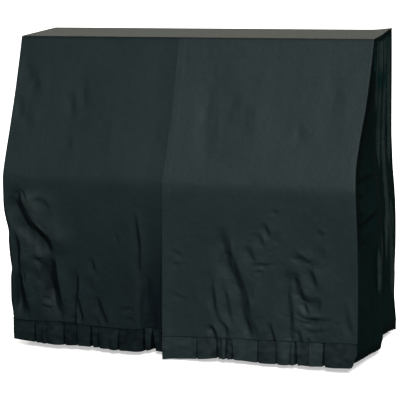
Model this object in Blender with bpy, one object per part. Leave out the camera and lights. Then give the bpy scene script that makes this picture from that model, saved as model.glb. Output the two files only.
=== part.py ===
"""Fitted cloth cover for an upright piano, in the shape in which it hangs on the instrument.

A flat top carries two front panels, two side panels and a back panel. The front panels slope
forward to the edge of the keyboard lid, turn over it and hang straight; the right one laps over
the left one at the middle. A pleated band is sewn along the foot of each front panel, and the
sides and the back end in plain hems. The piano itself is left out, so the cover is hollow and
open at the bottom.

Metres, +Z up, +X to the right and +Y to the back. The tables give heights above the hem line of
the front bands and depths behind the front edge of the top; each finished piece is then placed
so that the origin lies under the middle of the top, where the piano's lid carries the cloth.
"""
from collections import namedtuple

import bmesh
import bpy
import numpy as np

# Driving dimensions
TOP_HEIGHT = 1.285         # from the hem line of the front bands to the upper face of the top
TOP_DEPTH = 0.345          # front edge to back edge of the top
LID_REACH = 0.265          # how far the front stands out at the edge of the keyboard lid
LID_HEIGHT = 0.722         # height of that edge
LID_ROUNDING = 0.012       # softness of the turn over it
HEM_REACH = 0.271          # how far the front stands out at the hem line
SLOPE_SAG = 0.016          # the sloping stretch hangs this far behind a straight line
CLOTH = 0.002              # thickness of the cloth
BAND_CLOTH = 0.0015        # thickness of the pleated bands
SEAM_GAP = 0.0003          # space between two pieces that are sewn together
DRAPE_GAP = 0.003          # space between two layers that only hang over each other
LAP_END = 0.070            # the left front panel runs on behind the right one to here
LAP_START = -0.172         # and begins to fall back here
LAP_SETTLED = -0.130       # and lies behind the lap from here on
LAP_RECESS = 0.030         # how much further back it hangs at the hem line
LAP_RECESS_FROM = 0.75     # height below which it starts to hang further back
LAP_OPENING = 0.08         # the layers of the lap come apart over this distance under the top
BAND_PROUD = 0.0022        # the pleats make the bands stand out from the panels
BAND_GAP = 0.0004          # space between a panel and the band sewn to it
BAND_END_GAP = 0.004       # the bands stop short of the corners of the cover
SLIT_MARGIN = 0.016        # stretch beside a pleat slit without further points
SEAM_CALM = 0.03           # folds die out over this distance towards a seam
SEAM_STRIP = 0.008         # flat strip of a front panel that the side panel is sewn to
PLEAT_GROWTH = 1.5         # the pleats of a side open late on their way down
ROUGHNESS = 0.72

# Colours of the pieces
COLOURS = {
    "top_panel": (0.060, 0.061, 0.056),
    "front_left_panel": (0.030, 0.036, 0.037),
    "front_right_panel": (0.032, 0.038, 0.039),
    "side_left_panel": (0.012, 0.018, 0.018),
    "side_right_panel": (0.012, 0.018, 0.018),
    "back_panel": (0.020, 0.026, 0.026),
    "hem_band_left": (0.022, 0.028, 0.030),
    "hem_band_right": (0.033, 0.039, 0.041),
}

# Numbers of cells in the meshes
FRONT_COLUMNS = 24
SIDE_COLUMNS = 14
BACK_COLUMNS = 10
BACK_ROWS = 9
TOP_CELLS = (16, 4)
BAND_LEVELS = (0.0, 0.5, 1.0)    # shares of the way from the seam to the hem

# Where the upright edges of the cover hang: x of each corner at each height
EDGE_FIELDS = ("height", "left", "right", "rear_left", "rear_right")
EDGES = (
    (1.285, -0.772, 0.774, -0.768, 0.770),
    (1.140, -0.773, 0.769, -0.768, 0.770),
    (1.000, -0.773, 0.762, -0.768, 0.769),
    (0.880, -0.773, 0.751, -0.768, 0.768),
    (0.800, -0.772, 0.750, -0.769, 0.769),
    (0.722, -0.770, 0.757, -0.772, 0.772),
    (0.625, -0.770, 0.761, -0.778, 0.780),
    (0.550, -0.763, 0.764, -0.782, 0.784),
    (0.460, -0.749, 0.765, -0.784, 0.786),
    (0.360, -0.744, 0.766, -0.783, 0.785),
    (0.150, -0.750, 0.764, -0.779, 0.778),
    (0.000, -0.753, 0.758, -0.789, 0.790),
)

# The free edge of the right front panel, at the lap
LAP_FIELDS = ("height", "x")
LAP_EDGE = ((1.285, -0.052), (0.722, -0.049), (0.400, -0.056), (0.095, -0.063), (-0.022, -0.061))

# Foot of each front panel, where its band is sewn on, and hem of the band below it
FOOT_FIELDS = ("x", "seam", "hem")
LEFT_FOOT = (
    (-0.760, 0.099, 0.010), (-0.650, 0.097, 0.001), (-0.515, 0.102, -0.001),
    (-0.455, 0.098, 0.000), (-0.262, 0.092, -0.004), (-0.160, 0.092, -0.006),
    (0.080, 0.095, -0.014),
)
RIGHT_FOOT = (
    (-0.070, 0.075, -0.025), (0.050, 0.080, -0.016), (0.171, 0.084, -0.005),
    (0.348, 0.090, -0.008), (0.625, 0.100, -0.002), (0.770, 0.105, 0.002),
)

# Main folds of the fronts: a soft line from a high to a low point; out is forward
Fold = namedtuple("Fold", "x_high high x_low low half_width out")
FRONT_FOLDS = [Fold(*row) for row in (
    (-0.710, 0.650, -0.585, 0.440, 0.036, -0.009),
    (-0.640, 0.640, -0.480, 0.500, 0.045, 0.005),
    (-0.575, 0.460, -0.520, 0.130, 0.034, -0.009),
    (-0.640, 0.440, -0.600, 0.130, 0.040, 0.007),
    (-0.722, 0.440, -0.690, 0.120, 0.030, -0.007),
    (-0.448, 0.330, -0.452, 0.110, 0.028, -0.006),
    (-0.400, 0.300, -0.395, 0.110, 0.036, 0.004),
    (-0.345, 0.230, -0.318, 0.110, 0.028, -0.004),
    (-0.185, 0.600, -0.182, 0.110, 0.030, 0.006),
    (0.223, 0.530, 0.338, 0.110, 0.034, -0.006),
    (0.290, 0.480, 0.395, 0.130, 0.040, 0.005),
    (0.170, 0.330, 0.205, 0.110, 0.030, 0.004),
    (0.484, 0.400, 0.498, 0.110, 0.030, -0.006),
    (0.420, 0.420, 0.445, 0.110, 0.034, 0.004),
    (0.540, 0.420, 0.560, 0.230, 0.034, -0.006),
    (0.640, 0.400, 0.630, 0.150, 0.055, 0.005),
    (-0.440, 1.130, -0.480, 0.880, 0.060, -0.005),
    (-0.330, 1.130, -0.350, 0.880, 0.070, 0.004),
    (0.150, 1.120, 0.130, 0.800, 0.055, -0.004),
    (0.300, 1.100, 0.290, 0.800, 0.080, 0.004),
)]

# Pleats of the sides: the crests and troughs from front to back, where each lies below the top
# and at the hem; out is away from the piano
Pleat = namedtuple("Pleat", "y_top y_hem out_top out_hem")
RIGHT_PLEATS = [Pleat(*row) for row in (
    (-0.300, -0.300, 0.000, 0.000),
    (-0.100, -0.120, 0.000, 0.014),
    (0.040, 0.032, 0.006, 0.027),
    (0.085, 0.085, -0.003, 0.006),
    (0.110, 0.130, -0.001, -0.011),
    (0.155, 0.200, 0.008, -0.004),
    (0.205, 0.240, 0.001, 0.001),
    (0.255, 0.280, -0.006, -0.002),
    (0.345, 0.345, 0.000, 0.000),
)]
LEFT_PLEATS = [Pleat(*row) for row in (
    (-0.300, -0.300, 0.000, 0.000),
    (-0.120, -0.150, 0.000, -0.006),
    (0.060, -0.020, 0.006, 0.022),
    (0.120, 0.080, -0.005, -0.008),
    (0.190, 0.200, 0.007, 0.014),
    (0.260, 0.280, -0.004, -0.004),
    (0.345, 0.345, 0.000, 0.000),
)]

# Soft folds of the back: where each lies below the top and at the hem
BackFold = namedtuple("BackFold", "x_top x_hem half_width out_top out_hem")
BACK_FOLDS = [BackFold(*row) for row in (
    (-0.420, -0.470, 0.060, 0.003, 0.012),
    (-0.120, -0.100, 0.070, 0.003, 0.009),
    (0.210, 0.260, 0.065, 0.003, 0.012),
    (0.520, 0.540, 0.060, 0.002, 0.008),
)]

# Hems of the plain pieces: height along the side and along the back
SIDE_HEM_FIELDS = ("y", "height")
SIDE_HEM = (
    (-0.275, 0.023), (-0.150, 0.012), (0.030, 0.003), (0.140, 0.006), (0.240, 0.003), (0.345, -0.018),
)

# Pleat slits of the bands: place, mouth below the seam and at the hem, depth of the tuck, and
# how far the slit leans along the band on its way down
Slit = namedtuple("Slit", "x mouth_top mouth_hem tuck lean")
LEFT_SLITS = [Slit(*row) for row in (
    (-0.653, 0.0025, 0.0040, 0.011, 0.001),
    (-0.622, 0.0025, 0.0030, 0.009, -0.001),
    (-0.596, 0.0020, 0.0030, 0.008, 0.001),
    (-0.517, 0.0030, 0.0045, 0.012, 0.001),
    (-0.458, 0.0030, 0.0045, 0.012, 0.002),
    (-0.390, 0.0035, 0.0075, 0.013, 0.000),
    (-0.359, 0.0025, 0.0035, 0.010, 0.001),
    (-0.262, 0.0025, 0.0040, 0.012, -0.004),
    (-0.158, 0.0030, 0.0045, 0.012, 0.001),
    (-0.128, 0.0030, 0.0140, 0.014, 0.001),
)]
RIGHT_SLITS = [Slit(*row) for row in (
    (0.084, 0.0030, 0.0045, 0.012, 0.001),
    (0.172, 0.0060, 0.0080, 0.013, 0.002),
    (0.213, 0.0025, 0.0050, 0.012, 0.000),
    (0.348, 0.0025, 0.0035, 0.012, 0.000),
    (0.425, 0.0030, 0.0040, 0.012, 0.002),
    (0.487, 0.0025, 0.0030, 0.011, -0.004),
    (0.503, 0.0040, 0.0050, 0.012, 0.000),
    (0.561, 0.0020, 0.0030, 0.009, 0.000),
    (0.625, 0.0040, 0.0065, 0.013, -0.001),
)]

WALL_TOP = TOP_HEIGHT - CLOTH - SEAM_GAP    # the walls end just under the top
FOOT_LEVEL = 0.100                          # usual height of the seam of the bands
ORIGIN = (0.0, TOP_DEPTH / 2, TOP_HEIGHT - CLOTH)

# Heights of the mesh rows, close together where the front turns over the lid
ROW_HEIGHTS = np.concatenate([
    np.linspace(WALL_TOP, 0.83, 6)[:-1],
    np.linspace(0.83, 0.755, 3)[:-1],
    np.linspace(0.755, 0.690, 6)[:-1],
    np.linspace(0.690, FOOT_LEVEL, 10),
])


def column(fields, rows, name):
    """One column of a table."""
    return np.array([row[fields.index(name)] for row in rows])


def smooth_lookup(fields, rows, key, name, at):
    """Read a table at any place, along a smooth curve through its rows."""
    keys, values = column(fields, rows, key), column(fields, rows, name)
    order = np.argsort(keys)
    keys, values = keys[order], values[order]
    slopes = np.gradient(values, keys)
    at = np.clip(at, keys[0], keys[-1])
    i = np.clip(np.searchsorted(keys, at) - 1, 0, len(keys) - 2)
    step = keys[i + 1] - keys[i]
    t = (at - keys[i]) / step
    return (values[i] * (1 + 2 * t) * (1 - t) ** 2 + values[i + 1] * t * t * (3 - 2 * t)
            + step * (slopes[i] * t * (1 - t) ** 2 + slopes[i + 1] * t * t * (t - 1)))


def ease(value):
    """A soft step from 0 to 1."""
    t = np.clip(value, 0.0, 1.0)
    return t * t * (3 - 2 * t)


def edge_x(name, height):
    """Where one of the upright edges hangs at a height."""
    return smooth_lookup(EDGE_FIELDS, EDGES, "height", name, height)


def front_line(height):
    """Depth of the smooth front at a height: sloping, over the lid's edge, then hanging."""
    above = (height - LID_HEIGHT) / (TOP_HEIGHT - LID_HEIGHT)
    slope = -LID_REACH * (1 - above) + SLOPE_SAG * 4 * np.clip(above, 0, 1) * (1 - above)
    hang = -LID_REACH - (HEM_REACH - LID_REACH) * (LID_HEIGHT - height) / LID_HEIGHT
    half = (slope - hang) / (2 * LID_ROUNDING)
    return hang + LID_ROUNDING * (half + np.sqrt(half * half + 0.5))


def fold_depth(x, height):
    """How far the main folds carry the front forward at a point."""
    out = np.zeros(np.broadcast(x, height).shape)
    for fold in FRONT_FOLDS:
        along = np.array([fold.x_low - fold.x_high, fold.low - fold.high])
        length = np.hypot(*along)
        along = along / length
        run = (x - fold.x_high) * along[0] + (height - fold.high) * along[1]
        across = (x - fold.x_high) * along[1] - (height - fold.high) * along[0]
        start, end = run / fold.half_width, (length - run) / fold.half_width
        fade = ease(start + 0.5) * ease(end + 0.5)
        out = out + fold.out * fade * np.exp(-(across / fold.half_width) ** 2)
    return out


def seam_calm(x, height):
    """1 in the middle of the front, 0 at its corners and under the top."""
    to_side = np.minimum(x - edge_x("left", height), edge_x("right", height) - x)
    return ease((to_side - SEAM_STRIP) / SEAM_CALM) * ease((WALL_TOP - height) / SEAM_CALM)


def front_depth(x, height):
    """Depth of the front's outer face, without what the lap adds."""
    return front_line(height) - fold_depth(x, height) * seam_calm(x, height)


def lap_depth(x, height):
    """How far the left front panel falls back behind the right one."""
    settled = ease((WALL_TOP - height) / LAP_OPENING)
    layer = CLOTH + 2 * SEAM_GAP + (DRAPE_GAP - 2 * SEAM_GAP) * settled
    recess = LAP_RECESS * ease((LAP_RECESS_FROM - height) / LAP_RECESS_FROM)
    return (layer + recess) * ease((x - LAP_START) / (LAP_SETTLED - LAP_START))


def inward(points, outward_hint):
    """Unit normals of a grid of points, on the side away from the hint."""
    across = np.gradient(points, axis=1)
    down = np.gradient(points, axis=0)
    normal = np.cross(across, down)
    normal /= np.linalg.norm(normal, axis=2, keepdims=True)
    return normal * -np.sign(normal @ np.array(outward_hint, float))[..., None]


def material(name, colour):
    """A plain cloth finish."""
    made = bpy.data.materials.new(name)
    made.use_nodes = True
    shader = made.node_tree.nodes["Principled BSDF"]
    shader.inputs["Base Color"].default_value = (*colour, 1.0)
    shader.inputs["Roughness"].default_value = ROUGHNESS
    shader.inputs["Metallic"].default_value = 0.0
    return made


def sheet(name, outer, inner):
    """Close two matching grids of points into one thin body and place it."""
    rows, columns = outer.shape[:2]
    mesh = bmesh.new()
    faces = []
    for grid in (outer, inner):
        faces.append([[mesh.verts.new(point) for point in line] for line in grid])
    front, rear = faces
    for r in range(rows - 1):
        for c in range(columns - 1):
            for side in (front, rear):
                mesh.faces.new((side[r][c], side[r][c + 1], side[r + 1][c + 1], side[r + 1][c]))
    for r in (0, rows - 1):
        for c in range(columns - 1):
            mesh.faces.new((front[r][c], front[r][c + 1], rear[r][c + 1], rear[r][c]))
    for c in (0, columns - 1):
        for r in range(rows - 1):
            mesh.faces.new((front[r][c], front[r + 1][c], rear[r + 1][c], rear[r][c]))
    bmesh.ops.recalc_face_normals(mesh, faces=mesh.faces)
    data = bpy.data.meshes.new(name)
    mesh.to_mesh(data)
    mesh.free()
    data.materials.append(material(name, COLOURS[name]))
    made = bpy.data.objects.new(name, data)
    made.location = [-value for value in ORIGIN]
    bpy.context.scene.collection.objects.link(made)
    return made


def seam_normals(normal, corner):
    """Square up a front panel's normals where it meets the side panel and the band."""
    normal[:, corner, 0] = 0.0
    normal[-1, :, 2] = 0.0
    return normal / np.linalg.norm(normal, axis=2, keepdims=True)


def lap_x(height):
    """Where the free edge of the right front panel hangs at a height."""
    return smooth_lookup(LAP_FIELDS, LAP_EDGE, "height", "x", height)


def front_grid(start, end, corner, foot):
    """Rows and columns of a front panel: x and height of each point of the mesh.

    start and end give the panel's edges at a height; corner is the column that the side panel
    is sewn to, 0 or -1.
    """
    level = ROW_HEIGHTS[:, None]
    strip = SEAM_STRIP if corner == 0 else -SEAM_STRIP
    t = np.linspace(0, 1, FRONT_COLUMNS)[None, :]
    if corner == 0:
        x = (start(level) + strip) * (1 - t) + end(level) * t
        x = np.hstack([start(level), x])
    else:
        x = start(level) * (1 - t) + (end(level) + strip) * t
        x = np.hstack([x, end(level)])
    drop = smooth_lookup(FOOT_FIELDS, foot, "x", "seam", x) - FOOT_LEVEL
    height = level + drop * ((WALL_TOP - level) / (WALL_TOP - FOOT_LEVEL)) ** 2
    return x, height


def build_front_left():
    """The left front panel, with its hidden stretch behind the lap."""
    x, height = front_grid(lambda z: edge_x("left", z), lambda z: LAP_END, 0, LEFT_FOOT)
    depth = front_depth(x, height) + lap_depth(x, height)
    outer = np.stack([x, depth, height], axis=2)
    normal = seam_normals(inward(outer, (0, -1, 0)), 0)
    sheet("front_left_panel", outer, outer + CLOTH * normal)
    return outer, normal


def build_front_right():
    """The right front panel, whose free edge laps over the left one."""
    x, height = front_grid(lap_x, lambda z: edge_x("right", z), -1, RIGHT_FOOT)
    outer = np.stack([x, front_depth(x, height), height], axis=2)
    normal = seam_normals(inward(outer, (0, -1, 0)), -1)
    sheet("front_right_panel", outer, outer + CLOTH * normal)
    return outer, normal


def pleat_line(pleats, down, y):
    """How far the pleats carry a side outward along one level, from 0 at the top to 1."""
    rows = []
    for pleat in pleats:
        place = pleat.y_top + (pleat.y_hem - pleat.y_top) * down
        opened = ease(down) ** PLEAT_GROWTH
        rows.append((place, pleat.out_top + (pleat.out_hem - pleat.out_top) * opened))
    return smooth_lookup(("y", "out"), rows, "y", "out", y)


def build_side(sign, corner, corner_normal, front_edge, rear_edge, pleats):
    """A side panel, sewn to the edge of a front panel and to the back."""
    seam = corner + (CLOTH + SEAM_GAP) * corner_normal
    hem = smooth_lookup(SIDE_HEM_FIELDS, SIDE_HEM, "y", "height", seam[-1, 1])
    below = np.linspace(seam[-1, 2], hem, 3)[1:]
    line = np.array([[edge_x(front_edge, z), front_line(z) + CLOTH + SEAM_GAP, z] for z in below])
    seam = np.vstack([seam, line])
    t = np.linspace(0, 1, SIDE_COLUMNS + 1)[None, :]
    end = TOP_DEPTH - CLOTH - SEAM_GAP
    y = seam[:, 1:2] * (1 - t) + end * t
    hem_line = smooth_lookup(SIDE_HEM_FIELDS, SIDE_HEM, "y", "height", y)
    hang = ((WALL_TOP - seam[:, 2:3]) / (WALL_TOP - hem)) ** 2
    height = seam[:, 2:3] + (hem_line - hem) * hang
    height[0, 1:] = WALL_TOP
    share = t + 0 * y
    base = seam[:, 0:1] * (1 - share) + edge_x(rear_edge, height) * share
    down = 1 - height / WALL_TOP
    calm = ease((y - seam[:, 1:2]) / SEAM_CALM) * ease((end - y) / SEAM_CALM)
    calm = calm * ease((WALL_TOP - height) / SEAM_CALM)
    out = np.array([pleat_line(pleats, line_down.mean(), line_y)
                    for line_down, line_y in zip(down, y)])
    outer = np.stack([base + sign * out * calm, y, height], axis=2)
    normal = inward(outer, (sign, 0, 0))
    for c in (0, SIDE_COLUMNS):
        normal[:, c] = (-sign, 0, 0)
    normal[0, :, 2] = 0.0
    normal /= np.linalg.norm(normal, axis=2, keepdims=True)
    name = "side_right_panel" if sign > 0 else "side_left_panel"
    sheet(name, outer, outer + CLOTH * normal)


def build_back():
    """The plain back panel; it closes over the rear edges of the sides."""
    hem = SIDE_HEM[-1][1]
    height = np.linspace(WALL_TOP, hem, BACK_ROWS + 1)[:, None]
    t = np.linspace(0, 1, BACK_COLUMNS + 1)[None, :]
    x = edge_x("rear_left", height) * (1 - t) + edge_x("rear_right", height) * t
    height = height + 0 * x
    down = 1 - height / WALL_TOP
    out = np.zeros(x.shape)
    for fold in BACK_FOLDS:
        across = (x - (fold.x_top + (fold.x_hem - fold.x_top) * down)) / fold.half_width
        out += (fold.out_top + (fold.out_hem - fold.out_top) * down) * np.exp(-across ** 2)
    out *= ease((WALL_TOP - height) / SEAM_CALM)
    out[:, [0, 1, -2, -1]] = 0.0
    outer = np.stack([x, TOP_DEPTH + out, height], axis=2)
    normal = inward(outer, (0, 1, 0))
    normal[:, [0, 1, -2, -1]] = (0, -1, 0)
    normal[0, :] = (0, -1, 0)
    sheet("back_panel", outer, outer + CLOTH * normal)


def build_top():
    """The flat top, which lies on the piano and covers the upper edges of the walls."""
    columns, rows = TOP_CELLS
    t = np.linspace(0, 1, columns + 1)[None, :]
    y = np.linspace(0, TOP_DEPTH, rows + 1)[:, None]
    share = y / TOP_DEPTH
    left = edge_x("left", TOP_HEIGHT) * (1 - share) + edge_x("rear_left", TOP_HEIGHT) * share
    right = edge_x("right", TOP_HEIGHT) * (1 - share) + edge_x("rear_right", TOP_HEIGHT) * share
    x = left * (1 - t) + right * t
    y = y + 0 * x
    outer = np.stack([x, y, TOP_HEIGHT + 0 * x], axis=2)
    sheet("top_panel", outer, outer - (0, 0, CLOTH))


def band_section(start, end, slits, between, down):
    """Outline of a band seen from above, as x and how far behind the face it lies.

    Also returns how each point's inner twin is set off from it.
    """
    points, offsets = [(start, 0.0)], [(0, 1)]
    for slit in slits:
        half = (slit.mouth_top + (slit.mouth_hem - slit.mouth_top) * down) / 2
        middle = slit.x + slit.lean * down
        points += [(middle - half, 0.0), (middle - half, slit.tuck),
                   (middle + half, slit.tuck), (middle + half, 0.0)]
        offsets += [(-1, 1), (-1, 1), (1, 1), (1, 1)]
    points.append((end, 0.0))
    offsets.append((0, 1))
    for x in between:
        at = sum(1 for point in points if point[0] < x)
        points.insert(at, (x, 0.0))
        offsets.insert(at, (0, 1))
    return np.array(points), np.array(offsets)


def build_band(name, start, end, slits, foot, panel_foot, depth):
    """A pleated band under a front panel: one strip with a tuck at each slit.

    start and end give its ends at a share of the way down, and depth its face at a point.
    """
    fixed = [start(0.0), end(0.0)] + [slit.x for slit in slits]
    between = [x for x in panel_foot[:, 0] if fixed[0] < x < fixed[1]
               and min(abs(x - other) for other in fixed) > SLIT_MARGIN]
    outer, inner = [], []
    for down in BAND_LEVELS:
        section, offsets = band_section(start(down), end(down), slits, between, down)
        seam = np.interp(section[:, 0], panel_foot[:, 0], panel_foot[:, 2]) - BAND_GAP
        hem = smooth_lookup(FOOT_FIELDS, foot, "x", "hem", section[:, 0])
        height = seam + (hem - seam) * down
        face = depth(section[:, 0], height) - BAND_PROUD
        outer.append(np.stack([section[:, 0], face + section[:, 1], height], axis=1))
        inner_x = section[:, 0] + BAND_CLOTH * offsets[:, 0]
        inner.append(np.stack([inner_x, face + section[:, 1] + BAND_CLOTH * offsets[:, 1], height],
                              axis=1))
    sheet(name, np.array(outer), np.array(inner))


def band_depth(x, height):
    """Depth of the front below its foot, with the folds that end there."""
    return front_line(height) - fold_depth(x, FOOT_LEVEL) * seam_calm(x, FOOT_LEVEL)


def build_bands(left_foot, right_foot):
    """Both bands; the left one runs on behind the lap."""
    right_end = edge_x("right", FOOT_LEVEL) - BAND_END_GAP
    left_start = edge_x("left", FOOT_LEVEL) + BAND_END_GAP / 2
    build_band("hem_band_left", lambda down: left_start, lambda down: LAP_END, LEFT_SLITS,
               LEFT_FOOT, left_foot, lambda x, z: band_depth(x, z) + lap_depth(x, z))
    build_band("hem_band_right", lambda down: lap_x(FOOT_LEVEL * (1 - down)),
               lambda down: right_end - BAND_END_GAP * down, RIGHT_SLITS,
               RIGHT_FOOT, right_foot, band_depth)


def main():
    """Build every piece of the cover."""
    for old in list(bpy.data.objects):
        bpy.data.objects.remove(old)
    build_top()
    left, left_normal = build_front_left()
    right, right_normal = build_front_right()
    build_side(-1, left[:, 0], left_normal[:, 0], "left", "rear_left", LEFT_PLEATS)
    build_side(1, right[:, -1], right_normal[:, -1], "right", "rear_right", RIGHT_PLEATS)
    build_back()
    build_bands(left[-1], right[-1])


main()
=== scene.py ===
"""Looks of a fitted cloth cover for an upright piano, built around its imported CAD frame.

The cover is cut from one dark, closely woven cloth: a flat top, two front panels that lap at the
middle, two sides, a back, and a pleated band along the foot of each front panel. Every piece is a
thin sheet that lies on its CAD solid. Its folds are rows of a table, in metres: across the piece,
and height above the hem line of the front.
"""

import logging
import math
from dataclasses import dataclass, field, replace
from enum import Enum

import bpy
import numpy as np
from mathutils import Matrix, Vector, noise
from mathutils.bvhtree import BVHTree


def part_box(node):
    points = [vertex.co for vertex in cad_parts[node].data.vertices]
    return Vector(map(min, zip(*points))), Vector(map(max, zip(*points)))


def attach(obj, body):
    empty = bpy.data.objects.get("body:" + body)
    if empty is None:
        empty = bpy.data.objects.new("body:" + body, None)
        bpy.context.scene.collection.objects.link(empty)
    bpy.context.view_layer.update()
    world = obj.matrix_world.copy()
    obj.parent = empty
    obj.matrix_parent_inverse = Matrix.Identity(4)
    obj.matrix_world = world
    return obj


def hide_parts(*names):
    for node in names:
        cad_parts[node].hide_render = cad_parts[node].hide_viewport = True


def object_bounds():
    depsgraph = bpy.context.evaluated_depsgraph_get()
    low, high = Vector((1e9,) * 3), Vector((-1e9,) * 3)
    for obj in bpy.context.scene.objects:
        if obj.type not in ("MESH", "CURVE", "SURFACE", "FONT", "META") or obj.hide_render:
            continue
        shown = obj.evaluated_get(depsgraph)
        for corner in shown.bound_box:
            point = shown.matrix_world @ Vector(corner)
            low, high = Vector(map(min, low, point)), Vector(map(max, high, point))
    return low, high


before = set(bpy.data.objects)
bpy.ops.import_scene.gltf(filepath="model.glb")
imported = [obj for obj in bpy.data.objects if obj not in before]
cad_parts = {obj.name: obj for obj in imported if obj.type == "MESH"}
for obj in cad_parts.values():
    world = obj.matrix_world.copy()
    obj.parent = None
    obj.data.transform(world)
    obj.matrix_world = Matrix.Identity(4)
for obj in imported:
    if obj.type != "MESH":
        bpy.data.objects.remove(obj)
CAD_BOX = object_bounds()

HEM_LINE = -1.283            # height of the hem line of the front in the row frame
CLOTH = 0.0009               # thickness of the cloth
HEM_ROLL = 0.0014            # radius of a folded hem or a free edge
SEAM_ROLL = 0.0012           # radius in which an edge turns into a seam
SEAM_LAP = 0.004             # how far one edge of a seam runs on over the other
SEAM_STEP = 0.0045           # how far the covered edge of a seam lies behind the other
TURNED_IN = 0.003            # how far a hem or a free edge runs on after its turn
ROLL_STEPS = 4               # rows of points round a turn
WIDE_ROLL_STEPS = 8          # and round a wide one
WIDE_ROLL = 0.008            # radius from which a turn is wide
DARKEST_PAINTED_SHADE, BRIGHTEST_WEAR_AND_LIGHT = -2, 1         # bounds of the crest attribute, from the deepest painted shade to the most worn places and the brightest painted light
SHARP_EDGE = math.radians(70)         # faces that meet at more than this keep their edge

log = logging.getLogger("piano_cover")


# ------------------------------------------------------------------------------- small helpers

def ease(value: np.ndarray | float) -> np.ndarray:
    """A soft step from 0 to 1."""
    t = np.clip(value, 0.0, 1.0)
    return t * t * (3.0 - 2.0 * t)


def unit(vectors: np.ndarray) -> np.ndarray:
    """The same vectors at length 1."""
    return vectors / np.maximum(np.linalg.norm(vectors, axis=-1, keepdims=True), 1e-12)


def blurred(values: np.ndarray, cells: float, axis: int) -> np.ndarray:
    """Soften a grid of values along one axis, keeping its slope at both ends.

    Args:
        values: The grid.
        cells: Width of the blur in grid cells.
        axis: The axis along which it works.

    Returns:
        The softened grid, of the same shape.
    """
    reach = max(1, int(math.ceil(3 * cells)))
    weights = np.exp(-0.5 * (np.arange(-reach, reach + 1) / cells) ** 2)
    weights /= weights.sum()
    moved = np.moveaxis(values, axis, 0)
    padding = [(reach, reach)] + [(0, 0)] * (moved.ndim - 1)
    padded = np.pad(moved, padding, mode="reflect", reflect_type="odd")
    soft = sum(w * padded[k:k + moved.shape[0]] for k, w in enumerate(weights))
    return np.moveaxis(soft, 0, axis)


def spaced(*runs: tuple[float, float, float]) -> np.ndarray:
    """Places along a line, in runs of even cells.

    Args:
        runs: Rows of (from, to, cell), each starting where the last one ended.

    Returns:
        The places as shares of the whole, from 0 to 1.
    """
    places = [np.array([runs[0][0]])]
    for start, end, cell in runs:
        count = max(1, round((end - start) / cell))
        places.append(np.linspace(start, end, count + 1)[1:])
    line = np.concatenate(places)
    return (line - line[0]) / (line[-1] - line[0])


@dataclass(frozen=True)
class Wander:
    """A gentle unevenness of hanging cloth."""
    wide: float              # usual width of a hollow
    tall: float              # usual height of a hollow
    strength: float = 1.0
    layer: float = 0.0       # which of many unlike patterns it follows
    hanging: float = 0.0     # how much stronger it is where the cloth hangs free

    def at(self, across: np.ndarray, height: np.ndarray, unlike: float = 0.0,
           hang: np.ndarray | float = 0.0) -> np.ndarray:
        """Read the unevenness.

        Args:
            across: Place of each point across the piece, in metres.
            height: Height of each point.
            unlike: Added to the layer, so that each piece has its own pattern.
            hang: How freely the cloth hangs at each point, from 0 to 1.

        Returns:
            A value for each point, from minus the strength to the strength.
        """
        layer = unlike + self.layer
        flat = [noise.noise(Vector((a / self.wide, h / self.tall, layer)))
                for a, h in zip(across.ravel().tolist(), height.ravel().tolist())]
        return np.array(flat).reshape(across.shape) * (self.strength + self.hanging * hang)


@dataclass(frozen=True)
class Creases:
    """Short broken creases in every direction."""
    size: float              # usual distance between them
    depth: float
    layer: float             # which of many unlike patterns they follow
    NARROW = 0.09            # width of a crease as a share of the unevenness it follows
    OTHER = 50.0             # from the pattern of the lines to that of their gaps

    def at(self, across: np.ndarray, height: np.ndarray, unlike: float = 0.0) -> np.ndarray:
        """Read the creases.

        Args:
            across: Place of each point across the piece, in metres.
            height: Height of each point.
            unlike: Added to the layer, so that each piece has its own pattern.

        Returns:
            How far they carry each point outward, never above 0.
        """
        lines = Wander(self.size, self.size * 1.3).at(across, height, unlike + self.layer)
        stretches = Wander(self.size * 0.7, self.size * 0.9).at(
            across, height, unlike + self.layer + self.OTHER)
        return -np.exp(-(lines / self.NARROW) ** 2) * ease((stretches + 0.05) / 0.30) * self.depth


Reach = float | tuple[tuple[float, float], ...]


def reading(reach: Reach, level: np.ndarray) -> np.ndarray:
    """A distance at each level.

    Args:
        reach: The distance, the same all over, or rows of (height, distance).
        level: Heights in the row frame.

    Returns:
        A distance for each of them.
    """
    if isinstance(reach, float):
        return np.full(np.shape(level), reach)
    heights, distances = np.array(reach).T
    return np.interp(level - HEM_LINE, heights, distances)


def reach_plus(reach: Reach, more: float) -> Reach:
    """The same distances made longer."""
    if isinstance(reach, float):
        return reach + more
    return tuple((height, distance + more) for height, distance in reach)


# The rounding from the front to each side: wide where the left corner of the lid pushes out
LEFT_CORNER: Reach = ((0.0, .009), (.30, .010), (.45, .013), (.52, .017), (.58, .012), (.64, .008),
                      (.71, .006), (.78, .005), (.90, .005), (1.285, .004))
RIGHT_CORNER: Reach = ((0.0, .0035), (.55, .0035), (.66, .006), (.74, .006), (.82, .0035),
                       (1.285, .003))


# -------------------------------------------------------------------------------------- folds

class Crest(Enum):
    """Where a fold stands out, seen from its line."""
    RIGHT = 1        # right of the line, or above it
    LEFT = -1        # left of the line, or below it
    NEITHER = 0      # the line is a plain soft trough


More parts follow.
